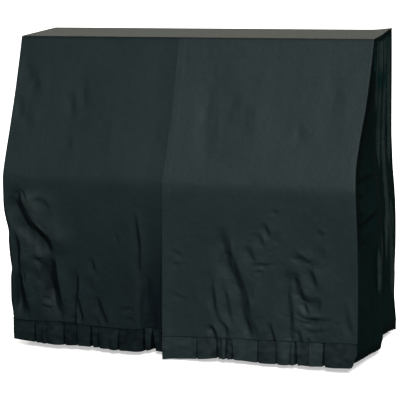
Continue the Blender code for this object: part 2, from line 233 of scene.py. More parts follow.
@dataclass(frozen=True)
class Fold:
    """One crease in a hanging cloth: a crest, a steep flank along a line, and a trough."""
    line: tuple[tuple[float, float], ...]    # (across, height) from the upper or left end
    lift: float                              # how far the crest stands out
    dip: float                               # how deep the trough is
    flank: float                             # width of the steep flank
    shoulder: float                          # width in which the crest falls away
    fade: tuple[float, float] = (0.4, 0.4)   # share of the length that each end takes to die out
    crest: Crest = Crest.RIGHT
    CURVE_STEPS = 12                         # points on the curve between two of the line
    REACH = 2.6                              # shoulders beyond which nothing moves

    def path(self) -> tuple[np.ndarray, np.ndarray]:
        """Draw the line as a smooth curve.

        Returns:
            Its points and their distance along it.
        """
        points = np.array(self.line, float)
        ends = np.vstack([2 * points[0] - points[1], points, 2 * points[-1] - points[-2]])
        curve = []
        for k in range(len(points) - 1):
            before, start, stop, after = ends[k:k + 4]
            t = np.linspace(0, 1, self.CURVE_STEPS)[:, None]
            curve.append(0.5 * (2 * start + (stop - before) * t
                                + (2 * before - 5 * start + 4 * stop - after) * t ** 2
                                + (3 * start - before - 3 * stop + after) * t ** 3))
        curve = np.vstack([curve[0]] + [part[1:] for part in curve[1:]])
        steps = np.linalg.norm(np.diff(curve, axis=0), axis=1)
        return curve, np.concatenate([[0.0], np.cumsum(steps)])

    def section(self, offset: np.ndarray) -> np.ndarray:
        """Read the fold's cross-section.

        Args:
            offset: Distance of each point from the line, positive towards the right.

        Returns:
            Height of the fold at each point.
        """
        if self.crest is Crest.NEITHER:
            rims = self.lift * np.exp(-((np.abs(offset) - self.flank) / self.shoulder) ** 2)
            return rims - (self.dip + self.lift) * np.exp(-(offset / self.flank) ** 2)
        d = offset * self.crest.value
        half = self.flank / 2
        above = self.lift * np.exp(-(np.maximum(d - half, 0) / self.shoulder) ** 2)
        below = -self.dip * np.exp(-(np.maximum(-half - d, 0) / self.shoulder) ** 2)
        rise = (d + half) / self.flank
        rise = 0.8 * np.clip(rise * 1.1 - 0.05, 0.0, 1.0) + 0.2 * ease(rise)
        return below + (above - below) * rise

    def relief(self, across: np.ndarray, height: np.ndarray) -> np.ndarray:
        """How far the fold carries the cloth outward at each point.

        Args:
            across: Place of each point across the piece.
            height: Height of each point above the hem line.

        Returns:
            Outward distance at each point.
        """
        curve, run = self.path()
        reach = self.flank + self.REACH * self.shoulder
        low, high = curve.min(axis=0) - reach, curve.max(axis=0) + reach
        near = ((across > low[0]) & (across < high[0]) & (height > low[1]) & (height < high[1]))
        out = np.zeros(across.shape)
        if not near.any():
            return out
        points = np.stack([across[near], height[near]], axis=1)
        tangent = unit(np.gradient(curve, axis=0))
        gap = points[:, None, :] - curve[None]
        nearest = np.argmin((gap ** 2).sum(axis=2), axis=1)
        gap = gap[np.arange(len(points)), nearest]
        along = tangent[nearest]
        side = gap[:, 0] * -along[:, 1] + gap[:, 1] * along[:, 0]
        place = (run[nearest] + (gap * along).sum(axis=1)) / run[-1]
        fade_in, fade_out = (max(share, 1e-3) for share in self.fade)
        strength = ease(place / fade_in) * ease((1 - place) / fade_out)
        out[near] = self.section(side) * strength
        return out


# ------------------------------------------------------------------------------- the CAD frame

@dataclass
class CadFace:
    """The outer face of one CAD panel, read along an axis of the frame."""
    node: str
    axis: int                 # 0, 1 or 2: the axis along which the face is read
    outward: int              # 1 or -1: the way the face looks along it

    def __post_init__(self) -> None:
        """Read the node's triangles."""
        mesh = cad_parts[self.node].data
        mesh.calc_loop_triangles()
        points = np.array([v.co for v in mesh.vertices], float)
        triangles = np.array([t.vertices for t in mesh.loop_triangles], int)
        self.tree = BVHTree.FromPolygons(points.tolist(), triangles.tolist())
        pairs = np.concatenate([triangles[:, [0, 1]], triangles[:, [1, 2]], triangles[:, [2, 0]]])
        self.edges = points[pairs]
        self.low, self.high = points.min(axis=0), points.max(axis=0)

    def span(self, section: int, at: np.ndarray, along: int) -> tuple[np.ndarray, np.ndarray]:
        """Where the panel begins and ends on each of several flat sections.

        Args:
            section: The axis that the sections are square to.
            at: Where each section lies on it.
            along: The axis along which the panel is measured.

        Returns:
            The lowest and the highest place of the panel on each section.
        """
        first, second = self.edges[:, 0], self.edges[:, 1]
        lows, highs = [], []
        for value in at:
            crossing = (first[:, section] - value) * (second[:, section] - value) <= 0
            crossing &= first[:, section] != second[:, section]
            a, b = first[crossing], second[crossing]
            t = (value - a[:, section]) / (b[:, section] - a[:, section])
            places = a[:, along] + t * (b[:, along] - a[:, along])
            lows.append(places.min())
            highs.append(places.max())
        return np.array(lows), np.array(highs)

    def depth(self, first: np.ndarray, second: np.ndarray) -> np.ndarray:
        """Read the outer face.

        Args:
            first: Place of each point on the first of the other two axes.
            second: Place of each point on the second.

        Returns:
            Place of the face along its own axis at each point.
        """
        others = [k for k in range(3) if k != self.axis]
        ray = Vector((0.0, 0.0, 0.0))
        ray[self.axis] = -self.outward
        start = (self.high if self.outward > 0 else self.low)[self.axis] + 0.1 * self.outward
        found = []
        for a, b in zip(first.ravel().tolist(), second.ravel().tolist()):
            origin = Vector((0.0, 0.0, 0.0))
            origin[others[0]], origin[others[1]], origin[self.axis] = a, b, start
            hit = self.tree.ray_cast(origin, ray)[0]
            if hit is None:
                origin[self.axis] = (self.high[self.axis] + self.low[self.axis]) / 2
                hit = self.tree.find_nearest(origin)[0]
            found.append(hit[self.axis])
        return np.array(found).reshape(first.shape)


@dataclass
class Inset:
    """How far a sheet's main surface stops short of each edge of its CAD panel."""
    left: Reach = 0.0
    right: Reach = 0.0
    foot: float = 0.0
    top: float = 0.0


class UprightFace:
    """A CAD panel that hangs, laid out as a grid from its foot to its top."""
    SAMPLES = 240             # places at which the outline is read
    MARGIN = 0.003            # the foot is read this far inside its corners
    CORNER = 0.050            # the corners of the foot lie no higher than this above its low point
    COLUMNS, ROWS = 150, 210  # grid on which the depth is read
    INSIDE = 4e-4             # it is read at least this far inside the outline
    FIRST_FOOT = 0.03         # where the foot is taken to lie above the low point at first
    PASSES = 3                # times that this is put right

    def __init__(self, face: CadFace, inset: Inset) -> None:
        """Read the outline of the panel.

        Args:
            face: The outer face of its CAD solid.
            inset: How far the sheet stops short of that outline.
        """
        self.face = face
        self.across = 0 if face.axis == 1 else 1
        self.inset = inset
        low, high = face.low, face.high
        places = np.linspace(low[self.across] + 1e-4, high[self.across] - 1e-4, self.SAMPLES)
        self.places = places
        self.foot, self.top = face.span(self.across, places, 2)
        self.levels = np.linspace(low[2] + 1e-4, high[2] - 1e-4, self.SAMPLES)
        self.start, self.end = face.span(2, self.levels, self.across)

    def edge(self, ends: np.ndarray, level: np.ndarray) -> np.ndarray:
        """Place of a side edge at each level, level with its foot below that."""
        return np.interp(np.maximum(level, self.face.low[2] + self.CORNER), self.levels, ends)

    def foot_at(self, across: np.ndarray) -> np.ndarray:
        """Read the foot.

        Args:
            across: Place of each point across the panel, also past the corners of the foot.

        Returns:
            Height of the foot under each of them.
        """
        corner = self.face.low[2] + self.CORNER
        first, last = (np.interp(corner, self.levels, ends) for ends in (self.start, self.end))
        inside = np.clip(across, first + self.MARGIN, last - self.MARGIN)
        return np.interp(inside, self.places, self.foot)

    def grid(self, shares: np.ndarray, rises: np.ndarray) -> tuple[np.ndarray, np.ndarray]:
        """Across and height of every point of a grid over the panel.

        Args:
            shares: Places from the start edge to the end edge, from 0 to 1.
            rises: Places from the foot to the top, from 0 to 1.

        Returns:
            Two grids with a row for each rise.
        """
        share, rise = np.meshgrid(shares, rises)
        top = self.face.high[2] - self.inset.top
        first = self.face.low[2] + self.FIRST_FOOT
        level = first + (top - first) * rise
        for _ in range(self.PASSES):
            start = self.edge(self.start, level) + reading(self.inset.left, level)
            end = self.edge(self.end, level) - reading(self.inset.right, level)
            across = start * (1 - share) + end * share
            foot = self.foot_at(across) + self.inset.foot
            level = foot + (top - foot) * rise
        return across, level

    def surface(self, shares: np.ndarray, rises: np.ndarray, soft_across: float,
                soft_up: float) -> np.ndarray:
        """Points of the panel's outer face with its facets smoothed away.

        Args:
            shares: Places from the start edge to the end edge, from 0 to 1.
            rises: Places from the foot to the top, from 0 to 1.
            soft_across: Width of the smoothing across the panel.
            soft_up: Width of the smoothing along its height.

        Returns:
            A grid of points in the row frame, with a row for each rise.
        """
        even_share, even_rise = np.linspace(0, 1, self.COLUMNS), np.linspace(0, 1, self.ROWS)
        across, level = self.grid(even_share, even_rise)
        inside = np.clip(across, self.face.low[self.across] + self.INSIDE,
                         self.face.high[self.across] - self.INSIDE)
        depth = self.face.depth(inside, np.minimum(level, self.face.high[2] - self.INSIDE))
        wide = np.ptp(across[self.ROWS // 2]) / (self.COLUMNS - 1)
        tall = np.ptp(level[:, self.COLUMNS // 2]) / (self.ROWS - 1)
        depth = blurred(blurred(depth, soft_across / wide, 1), soft_up / tall, 0)
        fine_across, fine_level = self.grid(shares, rises)
        by_share = np.array([np.interp(shares, even_share, line) for line in depth])
        fine_depth = np.array([np.interp(rises, even_rise, line) for line in by_share.T]).T
        points = np.empty(fine_across.shape + (3,))
        points[..., self.across] = fine_across
        points[..., self.face.axis] = fine_depth
        points[..., 2] = fine_level
        return points


# ----------------------------------------------------------------------------- sheets of cloth

class Edge(Enum):
    """The four edges of a grid of points, whose rows run from its foot to its top."""
    LEFT = (1, 0)
    RIGHT = (1, -1)
    FOOT = (0, 0)
    TOP = (0, -1)


def grid_normals(points: np.ndarray) -> np.ndarray:
    """Outward normals of a grid of points."""
    return unit(np.cross(np.gradient(points, axis=1), np.gradient(points, axis=0)))


def edge_frame(points: np.ndarray, edge: Edge) -> tuple[np.ndarray, np.ndarray, np.ndarray]:
    """Read an edge of a grid.

    Args:
        points: The grid.
        edge: Which of its edges.

    Returns:
        The points along it, with the way onward past the edge and the way outward at each.
    """
    axis, side = edge.value
    normal = np.take(grid_normals(points), side, axis=axis)
    last = np.take(points, side, axis=axis)
    inner = np.take(points, side + (1 if side == 0 else -1), axis=axis)
    onward = last - inner
    onward = unit(onward - normal * (onward * normal).sum(axis=1, keepdims=True))
    return last, onward, normal


@dataclass
class Laid:
    """A grid of points, with rows from its foot to its top, and at each the crest attribute:
    wearing of the cloth, painted light and painted shade.
    """
    points: np.ndarray
    wear_and_painted_light: np.ndarray

    def grown(self, edge: Edge, added: list[np.ndarray], fading: float = 0.0) -> "Laid":
        """Add rows or columns of points beyond an edge.

        Args:
            edge: The edge beyond which they lie.
            added: Their points, the nearest first.
            fading: How much the crest attribute, with its painted light and shade, changes from the
                first of them to the last.

        Returns:
            The larger grid.
        """
        axis, side = edge.value
        last = np.take(self.wear_and_painted_light, side, axis=axis)
        wear_and_painted_light = [last + fading * share for share in np.linspace(0, 1, len(added))]
        joined = []
        for grid, more in ((self.points, added), (self.wear_and_painted_light, wear_and_painted_light)):
            block = np.stack(more[::-1] if side == 0 else more, axis=axis)
            joined.append(np.concatenate([block, grid] if side == 0 else [grid, block], axis=axis))
        return Laid(*joined)

    def rolled(self, edge: Edge, radius: float | np.ndarray, run: float = 0.0,
               fading: float = 0.0) -> "Laid":
        """Carry the cloth on round an edge that turns inward by a quarter.

        Args:
            edge: The edge that turns.
            radius: Radius of the turn, or one for each point of the edge.
            run: How far the cloth goes on after the turn.
            fading: How much its crest attribute, with its painted light and shade, changes on the
                way.

        Returns:
            The grid with the turned rows or columns added.
        """
        last, onward, normal = edge_frame(self.points, edge)
        bend = np.broadcast_to(np.asarray(radius, float), last.shape[:1])[:, None]
        steps = ROLL_STEPS if np.max(bend) < WIDE_ROLL else WIDE_ROLL_STEPS
        turns = [math.pi / 2 * k / steps for k in range(1, steps + 1)]
        added = [last + onward * bend * math.sin(turn) - normal * bend * (1 - math.cos(turn))
                 for turn in turns]
        if run:
            added.append(added[-1] - normal * run)
        return self.grown(edge, added, fading)

    def tucked(self, edge: Edge, step: float, reach: float) -> "Laid":
        """Carry the cloth on behind the edge of the piece that it is sewn to.

        Args:
            edge: The edge that is covered.
            step: How far behind the surface it goes.
            reach: How far it runs on.

        Returns:
            The grid with the covered rows or columns added.
        """
        last, onward, normal = edge_frame(self.points, edge)
        return self.grown(edge, [last + onward * reach * t - normal * step * float(ease(t / 0.55))
                                 for t in (0.14, 0.28, 0.42, 0.56, 0.78, 1.0)])


def arc_lengths(points: np.ndarray) -> tuple[np.ndarray, np.ndarray]:
    """Lay a grid of points out flat.

    Args:
        points: The grid.

    Returns:
        Distance of each point across and up the cloth, in metres.
    """
    across = np.linalg.norm(np.diff(points, axis=1), axis=2)
    across = np.hstack([np.zeros((len(points), 1)), np.cumsum(across, axis=1)])
    across -= across[:, across.shape[1] // 2][:, None]
    up = np.linalg.norm(np.diff(points, axis=0), axis=2)
    up = np.vstack([np.zeros((1, points.shape[1])), np.cumsum(up, axis=0)])
    return across, up - up[-1]


def deselect_all() -> None:
    """Leave nothing selected, so that an operator acts on the new piece alone."""
    if bpy.context.mode != "OBJECT":
        bpy.ops.object.mode_set(mode="OBJECT")
    bpy.ops.object.select_all(action="DESELECT")


def cloth_sheet(name: str, laid: Laid, thickness: float = CLOTH) -> bpy.types.Object:
    """Make a grid a thin closed sheet of cloth.

    Args:
        name: Name of the piece.
        laid: Its outer face, with its crest attribute of wearing and painted light and shade.
        thickness: Thickness of the cloth, which grows inward.

    Returns:
        The finished piece.
    """
    rows, columns = laid.wear_and_painted_light.shape
    deselect_all()
    bpy.ops.mesh.primitive_grid_add(x_subdivisions=columns - 1, y_subdivisions=rows - 1, size=1.0)
    piece = bpy.context.object
    piece.name = piece.data.name = name
    mesh = piece.data
    mesh.vertices.foreach_set("co", laid.points.astype(np.float32).ravel())
    across, up = arc_lengths(laid.points)
    corner = np.empty(len(mesh.loops), np.int32)
    mesh.loops.foreach_get("vertex_index", corner)
    flat = np.stack([across.ravel()[corner], up.ravel()[corner]], axis=1)
    mesh.uv_layers[0].name = "Cloth"
    mesh.uv_layers[0].uv.foreach_set("vector", flat.astype(np.float32).ravel())
    crest = mesh.attributes.new("crest", "FLOAT", "POINT")
    crest.data.foreach_set("value", laid.wear_and_painted_light.astype(np.float32).ravel())
    mesh.update()
    bpy.ops.object.modifier_add(type="SOLIDIFY")
    solidify = piece.modifiers[-1]
    solidify.thickness = thickness
    solidify.offset = -1.0
    bpy.ops.object.modifier_apply(modifier=solidify.name)
    bpy.ops.object.shade_smooth_by_angle(angle=SHARP_EDGE)
    return piece


# ------------------------------------------------------------------------------------ finishes

class NodeSketch:
    """Lays nodes of a material or a node group one after another."""

    def __init__(self, tree: bpy.types.NodeTree) -> None:
        """Work in this node tree."""
        self.tree = tree
        self.placed = 0

    def put(self, socket: bpy.types.NodeSocket, value: object) -> None:
        """Join a socket to another one, or set a number or a colour on it."""
        if isinstance(value, bpy.types.NodeSocket):
            self.tree.links.new(value, socket)
        else:
            socket.default_value = (*value, 1.0) if socket.type == "RGBA" else value

    def node(self, kind: str, inputs: dict[str | int, object] | None = None,
             **settings: object) -> bpy.types.Node:
        """Add a node.

        Args:
            kind: Its type.
            inputs: What goes into its sockets, by their name or number.
            settings: Its other settings.

        Returns:
            The new node.
        """
        made = self.tree.nodes.new(kind)
        made.location = (200 * self.placed, 0)
        self.placed += 1
        for key, value in settings.items():
            setattr(made, key, value)
        for key, value in (inputs or {}).items():
            self.put(made.inputs[key], value)
        return made

    def math(self, operation: str, first: object, second: object = 0.5) -> bpy.types.NodeSocket:
        """Add a Math node and give its result."""
        return self.node("ShaderNodeMath", {0: first, 1: second}, operation=operation).outputs[0]

    def clamped(self, value: bpy.types.NodeSocket) -> bpy.types.NodeSocket:
        """Keep a value between 0 and 1."""
        return self.node("ShaderNodeClamp", {"Value": value}).outputs[0]

    def mix(self, factor: bpy.types.NodeSocket, first: object,
            second: object) -> bpy.types.NodeSocket:
        """Mix two colours by a factor and give the result."""
        return self.node("ShaderNodeMix", {0: factor, 6: first, 7: second},
                         data_type="RGBA").outputs[2]

    def noise(self, vector: bpy.types.NodeSocket, scale: float, detail: float,
              roughness: float) -> bpy.types.NodeSocket:
        """Add a Noise Texture and give its value."""
        made = self.node("ShaderNodeTexNoise", {"Vector": vector, "Scale": scale,
                                                "Detail": detail, "Roughness": roughness})
        return made.outputs["Fac"]


def new_material(name: str) -> tuple[bpy.types.Material, NodeSketch, bpy.types.Node]:
    """Start a node material.

    Args:
        name: Name of the material.

    Returns:
        The material, the sketch to fill it with, and its shader.
    """
    made = bpy.data.materials.new(name)
    made.use_nodes = True
    return made, NodeSketch(made.node_tree), made.node_tree.nodes["Principled BSDF"]


def new_group(name: str, inputs: dict[str, str], outputs: dict[str, str]
              ) -> tuple[NodeSketch, bpy.types.Node, bpy.types.Node]:
    """Start a shader node group.

    Args:
        name: Name of the group.
        inputs: Name and socket type of each input.
        outputs: Name and socket type of each output.

    Returns:
        The sketch to fill it with, its input node and its output node.
    """
    group = bpy.data.node_groups.new(name, "ShaderNodeTree")
    for way, sockets in (("INPUT", inputs), ("OUTPUT", outputs)):
        for label, kind in sockets.items():
            group.interface.new_socket(name=label, in_out=way, socket_type=kind)
    sketch = NodeSketch(group)
    return sketch, sketch.node("NodeGroupInput"), sketch.node("NodeGroupOutput")


def plain_weave_group() -> bpy.types.NodeTree:
    """Warp and weft that pass over and under each other, with slubs.

    Returns:
        A group from a place on the cloth in metres to the height and tone of its threads.
    """
    sketch, entry, result = new_group(
        "Plain weave", {"Place": "NodeSocketVector", "Threads": "NodeSocketFloat"},
        {"Height": "NodeSocketFloat", "Tone": "NodeSocketFloat"})
    place = entry.outputs["Place"]
    split = sketch.node("ShaderNodeSeparateXYZ", {0: place})
    turns = sketch.math("MULTIPLY", entry.outputs["Threads"], math.pi)
    warp, weft = (sketch.math("SINE", sketch.math("MULTIPLY", split.outputs[way], turns))
                  for way in "XY")
    over = sketch.math("ABSOLUTE", sketch.math("MULTIPLY", warp, weft))
    along = sketch.node("ShaderNodeMapping", {"Vector": place, "Scale": (900.0, 60.0, 1.0)})
    slubs = sketch.noise(along.outputs[0], 1.0, 2.0, 0.5)
    raised = sketch.math("ADD", over, sketch.math("MULTIPLY", slubs, 0.6))
    sketch.put(result.inputs["Height"], raised)
    sketch.put(result.inputs["Tone"], slubs)
    return sketch.tree


def mottle_group() -> bpy.types.NodeTree:
    """Uneven dye and handling, in broad clouds and small flecks.

    Returns:
        A group from a place on the cloth in metres to a tone and a crumple, each about one half.
    """
    sketch, entry, result = new_group(
        "Uneven dye", {"Place": "NodeSocketVector"},
        {"Tone": "NodeSocketFloat", "Crumple": "NodeSocketFloat"})
    place = entry.outputs["Place"]
    clouds = sketch.noise(place, 5.0, 3.0, 0.55)
    patches = sketch.noise(place, 24.0, 3.0, 0.6)
    flecks = sketch.noise(place, 140.0, 2.0, 0.6)
    tone = sketch.math("ADD", sketch.math("MULTIPLY", clouds, 0.5),
                       sketch.math("ADD", sketch.math("MULTIPLY", patches, 0.3),
                                   sketch.math("MULTIPLY", flecks, 0.2)))
    sketch.put(result.inputs["Tone"], tone)
    sketch.put(result.inputs["Crumple"], sketch.noise(place, 38.0, 4.0, 0.62))
    return sketch.tree


@dataclass(frozen=True)
class ClothFinish:
    """The finish of one cut of the cloth."""
    name: str
    deep: tuple[float, float, float]      # colour in its darker clouds
    pale: tuple[float, float, float]      # colour in its lighter clouds
    painted_shade_colour: tuple[float, float, float] = (.0018, .0048, .0058)    # colour of the painted shade deep in its folds, on flanks and in recesses
    dust_and_light_colour: tuple[float, float, float] = (.060, .066, .062)          # colour of dust and worn crests, also of painted light
    dust_and_sheen_all_over: float = 0.02                 # how much of that lies on it everywhere: dust, and on the top also painted sheen
    wear_and_painted_light: float = 0.10                    # and how much more where the crest attribute is high: worn crests, and painted light on flanks of the side that look forward
    roughness: float = 0.62
    specular: float = 0.16
    threads: float = 1900.0               # threads per metre
    thread_height: float = 0.00008
    CLOUDS = (0.36, 0.64)                 # tones of the dye between its deep and its pale colour
    SHINE = 0.05                          # how much rougher or smoother it is in places
    crumple: float = 0.0016               # height of the small crumples, in metres

    def tinted(self, name: str, share: float) -> "ClothFinish":
        """The same cloth with its colours scaled by a share, deeper or paler."""
        deep, pale, painted_shade_colour = (tuple(share * value for value in colour)
                               for colour in (self.deep, self.pale, self.painted_shade_colour))
        return replace(self, name=name, deep=deep, pale=pale, painted_shade_colour=painted_shade_colour)

    def material(self, weave: bpy.types.NodeTree,
                 mottle: bpy.types.NodeTree) -> bpy.types.Material:
        """Make the material.

        Args:
            weave: The plain weave group.
            mottle: The uneven dye group.

        Returns:
            A node material that reads the piece's Cloth map and crest attribute.
        """
        made, sketch, shader = new_material(self.name)
        place = sketch.node("ShaderNodeUVMap", uv_map="Cloth").outputs["UV"]
        crest = sketch.node("ShaderNodeAttribute", attribute_name="crest").outputs["Fac"]
        threads = sketch.node("ShaderNodeGroup", {"Place": place, "Threads": self.threads},
                              node_tree=weave)
        dye = sketch.node("ShaderNodeGroup", {"Place": place}, node_tree=mottle)
        tone = sketch.node("ShaderNodeMapRange", {"Value": dye.outputs["Tone"],
                                                  "From Min": self.CLOUDS[0],
                                                  "From Max": self.CLOUDS[1]})
        body = sketch.mix(tone.outputs["Result"], self.deep, self.pale)
        # Painted shade: below 0 the crest attribute darkens the colour towards the shade colour, in
        # troughs, on flanks and in recesses.
        painted_shade_share = sketch.clamped(sketch.math("MULTIPLY", crest, 1 / DARKEST_PAINTED_SHADE))
        body = sketch.mix(painted_shade_share, body, self.painted_shade_colour)
        # Worn crests and painted light lighten the colour towards the dust colour.
        dust_and_light_share = sketch.math("MULTIPLY", sketch.clamped(crest), self.wear_and_painted_light)
        dust_and_light_share = sketch.math("ADD", dust_and_light_share, self.dust_and_sheen_all_over)
        dust_and_light_share = sketch.math("MULTIPLY", dust_and_light_share, sketch.math("ADD", threads.outputs["Tone"], 0.5))
        rough = sketch.node("ShaderNodeMapRange", {"Value": dye.outputs["Tone"],
                                                   "To Min": self.roughness - self.SHINE,
                                                   "To Max": self.roughness + self.SHINE})
        small = sketch.node("ShaderNodeBump", {"Strength": 1.0, "Distance": self.crumple,
                                               "Height": dye.outputs["Crumple"]})
        fine = sketch.node("ShaderNodeBump", {"Strength": 0.5, "Distance": self.thread_height,
                                              "Height": threads.outputs["Height"],
                                              "Normal": small.outputs["Normal"]})
        sketch.put(shader.inputs["Base Color"], sketch.mix(dust_and_light_share, body, self.dust_and_light_colour))
        sketch.put(shader.inputs["Roughness"], rough.outputs["Result"])
        sketch.put(shader.inputs["Normal"], fine.outputs["Normal"])
        sketch.put(shader.inputs["Specular IOR Level"], self.specular)
        return made


class Slot(Enum):
    """The record's material slots."""
    PANEL = "panel_cloth"
    BAND = "band_cloth"


# ------------------------------------------------------------------------- folds of the fronts

LEFT_FRONT_FOLDS = (
    # the deep pull that drops from the left corner of the lid
    Fold(((-.716, .650), (-.699, .609), (-.651, .529), (-.605, .487), (-.572, .458), (-.556, .425),
          (-.546, .380)),
         .0150, .0150, .0380, .0700, (.16, .24)),
    Fold(((-.560, .405), (-.548, .340), (-.546, .273), (-.533, .191), (-.512, .135),
          (-.500, .085)),
         .0081, .0208, .0400, .0420, (.26, .50)),
    # the fold beside the left edge
    Fold(((-.748, .520), (-.734, .480), (-.714, .421), (-.712, .351), (-.702, .300)),
         .0067, .0144, .0350, .0330, (.35, .3)),
    Fold(((-.720, .345), (-.713, .285), (-.697, .207), (-.684, .130), (-.680, .085)),
         .0081, .0208, .0380, .0340, (.30, .50)),
    Fold(((-.694, .330), (-.684, .290), (-.676, .250)), .0016, .0048, .0126, .0152),
    # what it leaves between: small pulls under the corner
    Fold(((-.635, .402), (-.612, .366), (-.588, .330)), .0016, .0048, .0183, .0228),
    Fold(((-.646, .372), (-.618, .370), (-.585, .382)), .0016, .0036, .0126, .0152),
    Fold(((-.642, .340), (-.620, .300), (-.603, .262)), .0016, .0044, .0183, .0228),
    Fold(((-.716, .682), (-.692, .640), (-.664, .590), (-.640, .548)),
         .0024, .0059, .0169, .0228, (.3, .6)),
    Fold(((-.700, .680), (-.672, .655), (-.650, .618)), .0016, .0041, .0126, .0177),
    Fold(((-.640, .630), (-.590, .628), (-.535, .584)), .0020, .0053, .0198, .0278),
    Fold(((-.680, .592), (-.660, .560), (-.640, .520)),
         .0020, .0023, .0113, .0152, crest=Crest.LEFT),
    Fold(((-.620, .178), (-.590, .166), (-.556, .160)), .0012, .0036, .0113, .0127),
    Fold(((-.600, .215), (-.585, .200), (-.566, .196)), .0012, .0033, .0113, .0127),
    Fold(((-.610, .560), (-.590, .530), (-.560, .490)), .0016, .0030, .0198, .0228),
    Fold(((-.570, .330), (-.562, .250), (-.558, .190)),
         .0008, .0036, .0198, .0202, crest=Crest.NEITHER),
    # the middle of the panel
    Fold(((-.437, .348), (-.441, .290), (-.446, .224), (-.456, .150), (-.460, .085)),
         .0030, .0087, .0165, .0261, (.35, .0)),
    Fold(((-.442, .235), (-.434, .195), (-.425, .135), (-.421, .085)),
         .0030, .0087, .0135, .0188, (.35, .40)),
    Fold(((-.372, .396), (-.362, .355), (-.350, .318)), .0012, .0036, .0140, .0202),
    Fold(((-.385, .330), (-.372, .280), (-.360, .235)), .0012, .0030, .0225, .0304),
    Fold(((-.356, .250), (-.338, .185), (-.318, .133), (-.310, .088)),
         .0020, .0071, .0183, .0228, (.45, .25)),
    Fold(((-.362, .150), (-.350, .120), (-.342, .088)), .0016, .0041, .0113, .0127, (.5, .30)),
    Fold(((-.256, .511), (-.258, .469), (-.256, .440)),
         .0005, .0033, .0099, .0127, crest=Crest.NEITHER),
    Fold(((-.250, .172), (-.220, .184), (-.189, .189)), .0010, .0026, .0126, .0152),
    Fold(((-.240, .130), (-.215, .140), (-.185, .138)), .0008, .0019, .0126, .0152),
    # the edge of the stretch that falls back behind the lap
    Fold(((-.163, .610), (-.160, .520), (-.157, .430), (-.155, .330), (-.156, .200)),
         .0028, .0058, .0113, .0202, (.16, .40)),
    Fold(((-.156, .420), (-.155, .330), (-.155, .240), (-.155, .150), (-.156, .075)),
         .0036, .0111, .0240, .0232, (.40, .0), crest=Crest.LEFT),
    Fold(((-.100, .230), (-.104, .160), (-.110, .085)), .0012, .0059, .0225, .0228, (.5, .0)),
    # the slope
    Fold(((-.740, 1.215), (-.700, 1.150), (-.668, 1.080), (-.652, .990)),
         .0018, .0040, .0380, .0425),
    Fold(((-.705, 1.040), (-.690, .980), (-.668, .900)), .0012, .0027, .0350, .0400),
    Fold(((-.530, 1.075), (-.500, 1.040), (-.488, 1.000), (-.478, .940)),
         .0013, .0031, .0320, .0330),
    Fold(((-.452, 1.120), (-.436, 1.050), (-.420, .985)), .0014, .0033, .0320, .0350),
    Fold(((-.490, .900), (-.478, .860), (-.474, .820)), .0009, .0019, .0260, .0280),
    Fold(((-.735, 1.060), (-.728, 1.000), (-.715, .940)), .0014, .0033, .0260, .0278),
    Fold(((-.330, 1.000), (-.318, .900), (-.322, .810)), .0010, .0022, .0488, .0569),
)

